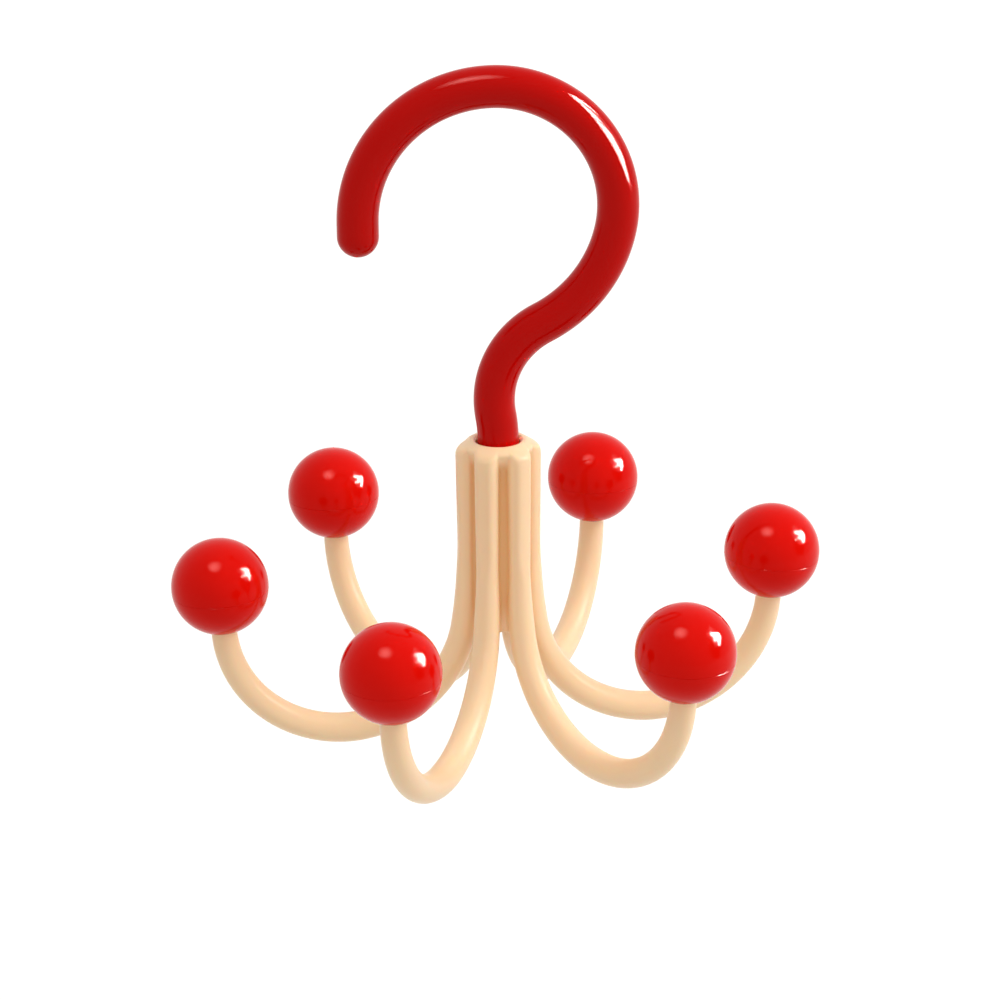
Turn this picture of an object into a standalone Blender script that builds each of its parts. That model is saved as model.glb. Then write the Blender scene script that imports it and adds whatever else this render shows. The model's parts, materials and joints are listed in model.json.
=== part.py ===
"""Rotating closet hook: a rod hook that turns in the hub of a ring of garment arms.

Lengths are in metres and +Z is up. The origin is the rail seat, the inside of the
hook's crown on the swivel axis. The hook lies in the XZ plane with its mouth at -X.
The hub and its arms are one moulding. A screw and a washer under the hub's floor
hold it on the stem, and each arm ends in a hollow ball made of two half shells.
"""

import math
from collections import namedtuple

import bmesh
import bpy
from mathutils import Matrix

OBJECT_NAME = "rotating_closet_hook"

# Fits
SEAT_GAP = 0.0003
RUNNING_CLEARANCE = 0.00035
OVERRUN = 0.0010
WELD_DISTANCE = 0.000005

# Hook rod, with radii taken to the middle of the rod
ROD_DIAMETER = 0.0107
STEM_BOW_RADIUS = 0.0390
STEM_BOW_TURN = math.radians(9.8)
NECK_RADIUS = 0.0234
NECK_TURN = math.radians(62.0)
LOOP_FOOT_TURN = math.radians(50.0)
LOOP_RADIUS = 0.0306
MOUTH_RADIUS = 0.0349
TIP_STRAIGHT = 0.0034
NOSE_DIAMETER = 0.0064
NOSE_CHAMFER = 0.0004
PILOT_DEPTH = 0.0130

# Ring of arms
ARM_COUNT = 6
ARM_REST_TURN = math.radians(8.8)

# Hub, from its top face down
HUB_HEIGHT = 0.0512
CORE_WALL = 0.0016
COLLAR_STAND = 0.0019
COLLAR_DEPTH = 0.0045
CORE_FOOT_ROUND = 0.0008
TOP_FACE_WIDTH = 0.0009
SHOULDER_DROP = 0.0022
SHOULDER_ROUND = 0.0009
MOUTH_FLARE = 0.0007
FLOOR_THICKNESS = 0.0030
COUNTERBORE_WALL = 0.0013
SCREW_RECESS = 0.0009

# Ribs of the hub and the arms that they run into
RIB_STAND = 0.0010
RIB_LENGTH = 0.0346
RIB_TOP_RADIUS = 0.00315
RIB_FOOT_RADIUS = 0.0029
RIB_SHOULDER_TRIM = 0.00035
RIB_WAIST_TRIM = 0.00065
RIB_FACE_LENGTH = 0.0280
RIB_RUNOUT_RADIUS = 0.0600
RIB_RUNOUT_TURN = math.radians(15.5)
ARM_FLARE_ROD_RADIUS = 0.00345
ARM_BOWL_ROD_RADIUS = 0.00393
ARM_END_ROD_RADIUS = 0.00335
ARM_FLARE_RADIUS = 0.1250
ARM_FLARE_TURN = math.radians(7.2)
ARM_BOWL_RADIUS = 0.0319
ARM_RISE_RADIUS = 0.0314
ARM_RISE_TURN = math.radians(89.6)
ARM_LEAN = math.radians(3.1)
ARM_TIP_CHAMFER = 0.0006

# Balls, measured from their centre, with the seam a little under it
BALL_DIAMETER = 0.0252
BALL_WALL = 0.0020
BALL_SEAM_DROP = 0.0010
BALL_LIP_LENGTH = 0.0020
BALL_LIP_WALL = 0.0012
SOCKET_WALL = 0.0014
SOCKET_FLOOR = 0.0012

# Retaining screw and washer
WASHER_THICKNESS = 0.0010
SCREW_SHANK_DIAMETER = 0.0028
SCREW_HEAD_DIAMETER = 0.0058
SCREW_HEAD_HEIGHT = 0.0020
SCREW_HEAD_ROUND = 0.0010
SCREW_LENGTH = 0.0140
SCREW_POINT_LENGTH = 0.0018
SCREW_TIP_DIAMETER = 0.0008
CROSS_WIDTH = 0.0007
CROSS_SPAN = 0.0032
CROSS_DEPTH = 0.0010

# Facets
ROD_SIDES = 16
ARM_SIDES = 12
CORE_SIDES = 36
BALL_SIDES = 20
WASHER_SIDES = 24
SCREW_SIDES = 16
SHARP_ANGLE = math.radians(35.0)
TIP_FLAT_SHARE = 0.25

# Colours, as linear values
RED = (0.70, 0.012, 0.008)
CREAM = (0.86, 0.70, 0.48)
STEEL = (0.62, 0.62, 0.60)

# Derived sizes
ROD_RADIUS = ROD_DIAMETER / 2
NOSE_RADIUS = NOSE_DIAMETER / 2
BORE_RADIUS = ROD_RADIUS + RUNNING_CLEARANCE
CORE_RADIUS = BORE_RADIUS + CORE_WALL
MOUTH_FLARE_RADIUS = BORE_RADIUS + MOUTH_FLARE
TOP_FACE_RADIUS = MOUTH_FLARE_RADIUS + TOP_FACE_WIDTH
RIB_RING_RADIUS = CORE_RADIUS + RIB_STAND
RIB_REACH = RIB_RING_RADIUS + RIB_TOP_RADIUS
HUB_RADIUS = RIB_REACH - RIB_SHOULDER_TRIM
WAIST_RADIUS = RIB_REACH - RIB_WAIST_TRIM
FLOOR_HOLE_RADIUS = NOSE_RADIUS + RUNNING_CLEARANCE
COUNTERBORE_RADIUS = CORE_RADIUS - COUNTERBORE_WALL
WASHER_RADIUS = COUNTERBORE_RADIUS - RUNNING_CLEARANCE
SCREW_SHANK_RADIUS = SCREW_SHANK_DIAMETER / 2
PILOT_RADIUS = SCREW_SHANK_RADIUS + SEAT_GAP
BALL_RADIUS = BALL_DIAMETER / 2
SOCKET_RADIUS = ARM_END_ROD_RADIUS + SEAT_GAP
ARM_BOWL_TURN = math.pi - ARM_FLARE_TURN - ARM_RISE_TURN - ARM_LEAN
LOOP_TURN = NECK_TURN - LOOP_FOOT_TURN
LOOP_FOOT_RADIUS = (
    LOOP_RADIUS * math.cos(LOOP_TURN)
    + STEM_BOW_RADIUS * (1 - math.cos(STEM_BOW_TURN))
    - NECK_RADIUS * (math.cos(STEM_BOW_TURN) - math.cos(NECK_TURN))
) / (math.cos(LOOP_TURN) - math.cos(NECK_TURN))

# Heights, from the rail seat down
LOOP_CENTRE_Z = ROD_RADIUS - LOOP_RADIUS
LOOP_FOOT_Z = LOOP_CENTRE_Z - LOOP_RADIUS * math.sin(LOOP_TURN)
NECK_TOP_Z = LOOP_FOOT_Z - LOOP_FOOT_RADIUS * (math.sin(NECK_TURN) - math.sin(LOOP_TURN))
STEM_TOP_Z = NECK_TOP_Z - NECK_RADIUS * (math.sin(NECK_TURN) + math.sin(STEM_BOW_TURN))
HUB_TOP_Z = STEM_TOP_Z - STEM_BOW_RADIUS * math.sin(STEM_BOW_TURN)

# Heights under the hub's top face
COUNTERBORE_DEPTH = WASHER_THICKNESS + SCREW_HEAD_HEIGHT + SCREW_RECESS + 2 * SEAT_GAP
FLOOR_BOTTOM = -HUB_HEIGHT + COUNTERBORE_DEPTH
FLOOR_TOP = FLOOR_BOTTOM + FLOOR_THICKNESS
STEM_SHOULDER = FLOOR_TOP + SEAT_GAP

Station = namedtuple("Station", "x z radius")
Run = namedtuple("Run", "length steps end_radius")
Bend = namedtuple("Bend", "radius turn steps end_radius")


def clear_scene():
    for obj in list(bpy.data.objects):
        bpy.data.objects.remove(obj, do_unlink=True)


def new_collection(name):
    collection = bpy.data.collections.new(name)
    bpy.context.scene.collection.children.link(collection)
    return collection


def plastic(name, colour, roughness):
    return finish(name, colour, roughness, 0.0)


def finish(name, colour, roughness, metallic):
    material = bpy.data.materials.new(name)
    material.use_nodes = True
    material.diffuse_color = (*colour, 1.0)
    shader = material.node_tree.nodes["Principled BSDF"]
    shader.inputs["Base Color"].default_value = (*colour, 1.0)
    shader.inputs["Roughness"].default_value = roughness
    shader.inputs["Metallic"].default_value = metallic
    return material


def trace(x, z, heading, radius, legs):
    """Stations along a flat route. Heading 0 is up, and a positive turn goes to +X."""
    stations = [Station(x, z, radius)]
    for leg in legs:
        first = stations[-1]
        for step in range(1, leg.steps + 1):
            share = step / leg.steps
            rod = first.radius + (leg.end_radius - first.radius) * share
            if isinstance(leg, Run):
                along = leg.length * share
                x = first.x + along * math.sin(heading)
                z = first.z + along * math.cos(heading)
            else:
                side = math.copysign(leg.radius, leg.turn)
                turned = heading + leg.turn * share
                x = first.x + side * (math.cos(heading) - math.cos(turned))
                z = first.z + side * (math.sin(turned) - math.sin(heading))
            stations.append(Station(x, z, rod))
        if isinstance(leg, Bend):
            heading += leg.turn
    return stations


def round_end(last, heading, steps):
    """Stations that close a rod with a half ball, flat at its very tip."""
    stations = []
    for step in range(1, steps + 1):
        angle = math.pi / 2 * step / (steps + TIP_FLAT_SHARE)
        along = last.radius * math.sin(angle)
        x = last.x + along * math.sin(heading)
        z = last.z + along * math.cos(heading)
        stations.append(Station(x, z, last.radius * math.cos(angle)))
    return stations


def tube(name, stations, sides):
    """A rod of changing thickness along the stations, as a curve with filled caps."""
    curve = bpy.data.curves.new(name, "CURVE")
    curve.dimensions = "3D"
    curve.bevel_depth = max(station.radius for station in stations)
    curve.bevel_resolution = (sides - 4) // 2
    curve.use_fill_caps = True
    spline = curve.splines.new("POLY")
    spline.points.add(len(stations) - 1)
    for point, station in zip(spline.points, stations):
        point.co = (station.x, 0.0, station.z, 1.0)
        point.radius = station.radius / curve.bevel_depth
    obj = bpy.data.objects.new(name, curve)
    bpy.context.scene.collection.objects.link(obj)
    return obj


def turned(name, profile, sides):
    """A turned shape. The profile of (radius, height) runs down its outer side."""
    mesh = bpy.data.meshes.new(name)
    corners = [(radius, 0.0, height) for radius, height in profile]
    edges = [(i, i + 1) for i in range(len(corners) - 1)]
    if profile[0][0] > 0:
        edges.append((len(corners) - 1, 0))
    mesh.from_pydata(corners, edges, [])
    obj = bpy.data.objects.new(name, mesh)
    bpy.context.scene.collection.objects.link(obj)
    screw = obj.modifiers.new("turn", "SCREW")
    screw.axis = "Z"
    screw.steps = sides
    screw.render_steps = sides
    screw.use_merge_vertices = True
    screw.merge_threshold = WELD_DISTANCE
    return obj


def rounded(corners, radii, steps):
    """A profile whose corners are eased by arcs of the given radii, where not zero."""
    profile = []
    for i, (x, z) in enumerate(corners):
        if radii[i] == 0:
            profile.append((x, z))
            continue
        before = math.atan2(corners[i - 1][1] - z, corners[i - 1][0] - x)
        after = math.atan2(corners[i + 1][1] - z, corners[i + 1][0] - x)
        opening = (after - before + math.pi) % (2 * math.pi) - math.pi
        reach = radii[i] / math.tan(abs(opening) / 2)
        middle = before + opening / 2
        centre_distance = radii[i] / math.sin(abs(opening) / 2)
        centre_x = x + centre_distance * math.cos(middle)
        centre_z = z + centre_distance * math.sin(middle)
        start = math.atan2(
            z + reach * math.sin(before) - centre_z,
            x + reach * math.cos(before) - centre_x,
        )
        sweep = -math.copysign(math.pi - abs(opening), opening)
        for step in range(steps + 1):
            angle = start + sweep * step / steps
            profile.append(
                (
                    centre_x + radii[i] * math.cos(angle),
                    centre_z + radii[i] * math.sin(angle),
                )
            )
    return profile


def arc(radius, from_angle, to_angle, steps):
    """Profile points on a circle round the origin. Angle 0 is +X and 90 degrees +Z."""
    points = []
    for step in range(steps + 1):
        angle = from_angle + (to_angle - from_angle) * step / steps
        points.append((radius * math.cos(angle), radius * math.sin(angle)))
    return points


def settled_mesh(obj):
    """The evaluated mesh of an object, welded, with its round faces shaded smooth."""
    bpy.context.view_layer.update()
    graph = bpy.context.evaluated_depsgraph_get()
    mesh = bpy.data.meshes.new_from_object(obj.evaluated_get(graph))
    work = bmesh.new()
    work.from_mesh(mesh)
    bmesh.ops.remove_doubles(work, verts=work.verts[:], dist=WELD_DISTANCE)
    work.to_mesh(mesh)
    work.free()
    mesh.shade_smooth()
    mesh.set_sharp_from_angle(angle=SHARP_ANGLE)
    return mesh


def settle(obj):
    """Turns an object and its modifiers into one plain mesh object in the same place."""
    mesh = settled_mesh(obj)
    name = obj.name
    settled = bpy.data.objects.new(name, mesh)
    settled.matrix_world = obj.matrix_world
    bpy.context.scene.collection.objects.link(settled)
    bpy.data.objects.remove(obj, do_unlink=True)
    settled.name = name
    mesh.name = name
    return settled


def combine(target, operand, operation):
    step = target.modifiers.new(operand.name, "BOOLEAN")
    step.operation = operation
    step.solver = "EXACT"
    step.object = operand


def file_under(obj, collection):
    for old in list(obj.users_collection):
        old.objects.unlink(obj)
    collection.objects.link(obj)


def keep_part(obj, material, parts):
    obj.data.materials.clear()
    obj.data.materials.append(material)
    file_under(obj, parts)
    return obj


def keep_cutter(obj, cutters):
    obj.hide_render = True
    obj.display_type = "WIRE"
    file_under(obj, cutters)
    return obj


def hook_stations():
    """The rod from the end of its nose up the stem, round the neck and loop to the tip.

    The stem is straight in the hub. Above it, it bows a little to -X before the neck.
    """
    stations = trace(
        0.0,
        HUB_TOP_Z + FLOOR_BOTTOM,
        0.0,
        ROD_RADIUS,
        [
            Run(-FLOOR_BOTTOM, 1, ROD_RADIUS),
            Bend(STEM_BOW_RADIUS, -STEM_BOW_TURN, 2, ROD_RADIUS),
            Bend(NECK_RADIUS, STEM_BOW_TURN + NECK_TURN, 7, ROD_RADIUS),
            Bend(LOOP_FOOT_RADIUS, -LOOP_FOOT_TURN, 6, ROD_RADIUS),
            Bend(LOOP_RADIUS, -LOOP_TURN - math.pi / 2, 12, ROD_RADIUS),
            Bend(MOUTH_RADIUS, -math.pi / 2, 11, ROD_RADIUS),
            Run(TIP_STRAIGHT, 1, ROD_RADIUS),
        ],
    )
    return stations + round_end(stations[-1], -math.pi, 4)


def nose_cutter():
    """The ring taken off the stem's end, so that a nose is left to pass the floor."""
    top = HUB_TOP_Z + STEM_SHOULDER
    bottom = HUB_TOP_Z + FLOOR_BOTTOM
    outer = ROD_RADIUS + OVERRUN
    profile = [
        (outer, top),
        (outer, bottom - OVERRUN),
        (NOSE_RADIUS - NOSE_CHAMFER - OVERRUN, bottom - OVERRUN),
        (NOSE_RADIUS, bottom + NOSE_CHAMFER),
        (NOSE_RADIUS, top),
    ]
    return turned("nose_cutter", profile, CORE_SIDES)


def pilot_cutter():
    bottom = HUB_TOP_Z + FLOOR_BOTTOM
    profile = [
        (0.0, bottom + PILOT_DEPTH),
        (PILOT_RADIUS, bottom + PILOT_DEPTH - PILOT_RADIUS),
        (PILOT_RADIUS, bottom - OVERRUN),
        (0.0, bottom - OVERRUN),
    ]
    return turned("pilot_cutter", profile, SCREW_SIDES)


def build_hook(material, parts, cutters):
    hook = settle(tube("hook", hook_stations(), ROD_SIDES))
    for cutter in (nose_cutter(), pilot_cutter()):
        combine(hook, keep_cutter(cutter, cutters), "DIFFERENCE")
    return keep_part(settle(hook), material, parts)


def build_washer(material, parts):
    hole = SCREW_SHANK_RADIUS + SEAT_GAP
    profile = [
        (WASHER_RADIUS, WASHER_THICKNESS),
        (WASHER_RADIUS, 0.0),
        (hole, 0.0),
        (hole, WASHER_THICKNESS),
    ]
    washer = settle(turned("retaining_washer", profile, WASHER_SIDES))
    washer.location.z = HUB_TOP_Z + FLOOR_BOTTOM - SEAT_GAP - WASHER_THICKNESS
    return keep_part(washer, material, parts)


def cross_bar(name, width, span):
    """One bar of the driver recess, centred on the face that it sinks into."""
    work = bmesh.new()
    made = bmesh.ops.create_cube(work, size=1.0)
    bmesh.ops.scale(work, vec=(width, span, 2 * CROSS_DEPTH), verts=made["verts"])
    mesh = bpy.data.meshes.new(name)
    work.to_mesh(mesh)
    work.free()
    obj = bpy.data.objects.new(name, mesh)
    bpy.context.scene.collection.objects.link(obj)
    return obj


def build_screw(material, parts, cutters):
    """Pan head screw, with its origin where the head meets the shank."""
    head_radius = SCREW_HEAD_DIAMETER / 2
    tip_radius = SCREW_TIP_DIAMETER / 2
    corners = [
        (0.0, SCREW_LENGTH),
        (tip_radius, SCREW_LENGTH),
        (SCREW_SHANK_RADIUS, SCREW_LENGTH - SCREW_POINT_LENGTH),
        (SCREW_SHANK_RADIUS, 0.0),
        (head_radius, 0.0),
        (head_radius, -SCREW_HEAD_HEIGHT),
        (0.0, -SCREW_HEAD_HEIGHT),
    ]
    radii = [0, 0, 0, 0, 0, SCREW_HEAD_ROUND, 0]
    screw = turned("retaining_screw", rounded(corners, radii, 3), SCREW_SIDES)
    bars = [
        cross_bar("cross_bar_x", CROSS_SPAN, CROSS_WIDTH),
        cross_bar("cross_bar_y", CROSS_WIDTH, CROSS_SPAN),
    ]
    for bar in bars:
        bar.location.z = -SCREW_HEAD_HEIGHT
        combine(screw, keep_cutter(bar, cutters), "DIFFERENCE")
    screw = settle(screw)
    seat = HUB_TOP_Z + FLOOR_BOTTOM - WASHER_THICKNESS - 2 * SEAT_GAP
    for obj in (screw, *bars):
        obj.location.z += seat
    return keep_part(screw, material, parts)


def carousel_empty(parts):
    """The swivel's centre on the hub's top face. All that turns is parented to it."""
    empty = bpy.data.objects.new("carousel", None)
    empty.location.z = HUB_TOP_Z
    empty.rotation_euler.z = ARM_REST_TURN
    parts.objects.link(empty)
    bpy.context.view_layer.update()
    return empty


def arm_stations():
    """One rib and its arm, from above the hub's top face to the middle of its ball."""
    straight_end = BALL_RADIUS - ARM_TIP_CHAMFER
    return trace(
        RIB_RING_RADIUS,
        OVERRUN,
        math.pi,
        RIB_TOP_RADIUS,
        [
            Run(OVERRUN + RIB_LENGTH, 2, RIB_FOOT_RADIUS),
            Bend(ARM_FLARE_RADIUS, -ARM_FLARE_TURN, 2, ARM_FLARE_ROD_RADIUS),
            Bend(ARM_BOWL_RADIUS, -ARM_BOWL_TURN, 8, ARM_BOWL_ROD_RADIUS),
            Bend(ARM_RISE_RADIUS, -ARM_RISE_TURN, 9, ARM_END_ROD_RADIUS),
            Run(straight_end, 1, ARM_END_ROD_RADIUS),
            Run(ARM_TIP_CHAMFER, 1, ARM_END_ROD_RADIUS - ARM_TIP_CHAMFER),
        ],
    )


def arm_angles():
    return [2 * math.pi * i / ARM_COUNT for i in range(ARM_COUNT)]


def ring_of_arms():
    arm = settle(tube("arm", arm_stations(), ARM_SIDES))
    work = bmesh.new()
    for angle in arm_angles():
        known = len(work.verts)
        work.from_mesh(arm.data)
        work.verts.ensure_lookup_table()
        matrix = Matrix.Rotation(angle, 3, "Z")
        bmesh.ops.rotate(work, verts=work.verts[known:], matrix=matrix)
    mesh = bpy.data.meshes.new("arms")
    work.to_mesh(mesh)
    work.free()
    bpy.data.objects.remove(arm, do_unlink=True)
    arms = bpy.data.objects.new("arms", mesh)
    bpy.context.scene.collection.objects.link(arms)
    return arms


def hub_core():
    """The hub's solid core: a collar at the top that narrows to the wall in the grooves."""
    collar = CORE_RADIUS + COLLAR_STAND
    corners = [
        (0.0, OVERRUN),
        (collar, OVERRUN),
        (collar, -COLLAR_STAND),
        (CORE_RADIUS, -COLLAR_DEPTH),
        (CORE_RADIUS, -HUB_HEIGHT),
        (0.0, -HUB_HEIGHT),
    ]
    radii = [0, 0, 0, 0, CORE_FOOT_ROUND, 0]
    return turned("arm_hub", rounded(corners, radii, 2), CORE_SIDES)


def shoulder_cutter():
    """A cap with a hollow that trims the ribs to the sloping shoulder and flatter faces.

    Down the ribs the hollow narrows to the waist, and then runs out clear of the arms.
    """
    runout = [
        (WAIST_RADIUS + RIB_RUNOUT_RADIUS + x, z - RIB_FACE_LENGTH)
        for x, z in arc(RIB_RUNOUT_RADIUS, math.pi + RIB_RUNOUT_TURN, math.pi, 3)
    ]
    outer = runout[0][0] + OVERRUN
    corners = [
        (0.0, 2 * OVERRUN),
        (outer, 2 * OVERRUN),
        (outer, runout[0][1]),
        *runout,
        (HUB_RADIUS, -SHOULDER_DROP),
        (TOP_FACE_RADIUS, 0.0),
        (0.0, 0.0),
    ]
    radii = [0] * len(corners)
    radii[-3] = SHOULDER_ROUND
    return turned("shoulder_cutter", rounded(corners, radii, 3), CORE_SIDES)


def bore_cutter():
    """The stepped hole: flared mouth, stem bore, floor hole and counterbore."""
    flare_top = MOUTH_FLARE_RADIUS + OVERRUN
    profile = [
        (0.0, OVERRUN),
        (flare_top, OVERRUN),
        (BORE_RADIUS, -MOUTH_FLARE),
        (BORE_RADIUS, FLOOR_TOP),
        (FLOOR_HOLE_RADIUS, FLOOR_TOP),
        (FLOOR_HOLE_RADIUS, FLOOR_BOTTOM),
        (COUNTERBORE_RADIUS, FLOOR_BOTTOM),
        (COUNTERBORE_RADIUS, -HUB_HEIGHT - OVERRUN),
        (0.0, -HUB_HEIGHT - OVERRUN),
    ]
    return turned("bore_cutter", profile, CORE_SIDES)


def ride_on(obj, empty):
    obj.parent = empty
    return obj


def build_arm_hub(material, parts, cutters, carousel):
    hub = hub_core()
    operands = [
        (ring_of_arms(), "UNION"),
        (shoulder_cutter(), "DIFFERENCE"),
        (bore_cutter(), "DIFFERENCE"),
    ]
    for operand, operation in operands:
        combine(hub, keep_cutter(operand, cutters), operation)
    hub = settle(hub)
    for operand, _ in operands:
        ride_on(operand, carousel)
    return ride_on(keep_part(hub, material, parts), carousel)


def ball_upper_profile():
    """Outer skin, rim, lip that drops into the lower half, and the inner dome."""
    rim = -BALL_SEAM_DROP + SEAT_GAP / 2
    lip_bottom = rim - BALL_LIP_LENGTH
    inner = BALL_RADIUS - BALL_WALL
    lip_outer = math.sqrt((inner - SEAT_GAP) ** 2 - lip_bottom**2)
    lip_inner = lip_outer - BALL_LIP_WALL
    skin = arc(BALL_RADIUS, math.pi / 2, math.asin(rim / BALL_RADIUS), 6)
    skin[0] = (0.0, BALL_RADIUS)
    lip = [(lip_outer, rim), (lip_outer, lip_bottom), (lip_inner, lip_bottom)]
    squeeze = inner / lip_inner
    dome = [(x, z * squeeze) for x, z in arc(lip_inner, 0.0, math.pi / 2, 4)]
    dome[-1] = (0.0, inner)
    return skin + lip + dome


def ball_lower_profile():
    """Blind socket for the arm's end, inner wall, rim and outer skin."""
    rim = -BALL_SEAM_DROP - SEAT_GAP / 2
    inner = BALL_RADIUS - BALL_WALL
    boss = SOCKET_RADIUS + SOCKET_WALL
    boss_top = SEAT_GAP + SOCKET_FLOOR
    wall = arc(inner, -math.acos(boss / inner), math.asin(rim / inner), 4)
    hole = math.acos(SOCKET_RADIUS / BALL_RADIUS)
    skin = arc(BALL_RADIUS, math.asin(rim / BALL_RADIUS), -hole, 5)
    socket = [(SOCKET_RADIUS, SEAT_GAP), (0.0, SEAT_GAP)]
    return [(0.0, boss_top), (boss, boss_top)] + wall + skin + socket


def ball_place(angle):
    """Where an arm's ball sits: centred on the arm's end and square to its lean."""
    end = arm_stations()[-1]
    move = Matrix.Translation((end.x, 0.0, end.z))
    lean = Matrix.Rotation(ARM_LEAN, 4, "Y")
    return Matrix.Rotation(angle, 4, "Z") @ move @ lean


def build_balls(material, parts, carousel):
    halves = {
        "upper": ball_upper_profile(),
        "lower": ball_lower_profile(),
    }
    for half, profile in halves.items():
        pattern = turned(f"ball_{half}_pattern", profile, BALL_SIDES)
        mesh = settled_mesh(pattern)
        bpy.data.objects.remove(pattern, do_unlink=True)
        mesh.name = f"ball_{half}_shell"
        for number, angle in enumerate(arm_angles(), start=1):
            name = f"ball_{number}_{half}_shell"
            shell = bpy.data.objects.new(name, mesh)
            bpy.context.scene.collection.objects.link(shell)
            shell.matrix_world = ball_place(angle)
            ride_on(keep_part(shell, material, parts), carousel)


def main():
    clear_scene()
    parts = new_collection(OBJECT_NAME)
    cutters = new_collection("cutters")
    red = plastic("red_plastic", RED, 0.18)
    cream = plastic("cream_plastic", CREAM, 0.38)
    steel = finish("zinc_steel", STEEL, 0.35, 1.0)

    build_hook(red, parts, cutters)
    build_washer(steel, parts)
    build_screw(steel, parts, cutters)

    carousel = carousel_empty(parts)
    build_arm_hub(cream, parts, cutters, carousel)
    build_balls(red, parts, carousel)
    bpy.context.view_layer.update()


main()
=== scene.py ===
"""Rotating closet hook, dressed for a plain studio photograph.

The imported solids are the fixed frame. Every piece here stands for the solid of the
same name, in the same place: the red rod hook, the ribbed cream hub with its ring of
arms, the two halves of each ball, and the screw and washer that hold the hub up.

Lengths are in metres and +Z is up. The origin is the rail seat, the inside of the
hook's crown on the swivel axis, and the hook lies in the XZ plane.
"""

import json
import logging
import math
from dataclasses import dataclass, field
from enum import Enum
from itertools import dropwhile
from typing import Callable, Iterable, Optional, Sequence

import bmesh
import bpy
from mathutils import Matrix, Vector


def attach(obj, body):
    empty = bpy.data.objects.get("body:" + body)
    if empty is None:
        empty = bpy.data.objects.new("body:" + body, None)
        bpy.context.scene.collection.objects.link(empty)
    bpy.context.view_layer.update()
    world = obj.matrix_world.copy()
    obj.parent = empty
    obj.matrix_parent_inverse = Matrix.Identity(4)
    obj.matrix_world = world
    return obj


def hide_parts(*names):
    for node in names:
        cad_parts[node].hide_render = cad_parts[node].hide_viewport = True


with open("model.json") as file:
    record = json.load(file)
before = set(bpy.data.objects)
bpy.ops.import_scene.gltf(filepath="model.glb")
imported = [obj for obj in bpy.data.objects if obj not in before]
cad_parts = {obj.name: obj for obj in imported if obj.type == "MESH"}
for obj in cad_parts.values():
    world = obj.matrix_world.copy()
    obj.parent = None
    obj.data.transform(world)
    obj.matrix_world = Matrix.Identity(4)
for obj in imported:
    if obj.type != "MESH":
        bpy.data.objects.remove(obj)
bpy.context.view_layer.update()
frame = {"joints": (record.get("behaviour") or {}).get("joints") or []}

Point2 = tuple[float, float]
Point3 = tuple[float, float, float]
Colour = tuple[float, float, float]
Rows = tuple[Sequence[Point3], Sequence[Point3]]
Socket = bpy.types.NodeSocket
Node = bpy.types.Node
NodeTree = bpy.types.NodeTree
Object = bpy.types.Object
Material = bpy.types.Material
Mesh = bpy.types.Mesh
Vert = bmesh.types.BMVert

MM = 0.001
WHITE = (1.0, 1.0, 1.0, 1.0)
BLACK = (0.0, 0.0, 0.0, 1.0)

# Edges that bend by more than this stay sharp on a smooth piece.
SHARP_ANGLE = math.radians(38.0)
# Points closer than this are one point.
MERGE_DISTANCE = 0.004 * MM
# The part of its range from 0 to 1 that a noise mostly fills.
NOISE_SPAN = (0.3, 0.7)
# The number on a mesh's points that says how much painted shade its colour takes there; on the
# glow card, how far its light fades.
PAINTED_SHADE_AND_FADE = "deepness"

log = logging.getLogger("closet_hook")


class Body(Enum):
    """The two bodies that the swivel joins."""

    HOOK = "hook_body"
    CAROUSEL = "carousel"


class Slot(Enum):
    """The record's material slots."""

    RED = "red_plastic"
    CREAM = "cream_plastic"
    ZINC = "zinc_steel"


class Half(Enum):
    """The two shells of a ball."""

    UPPER = "upper"
    LOWER = "lower"


@dataclass(frozen=True)
class Station:
    """One point of a rod's route, with the rod's radius and heading there."""

    x: float
    z: float
    radius: float
    heading: float


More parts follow.
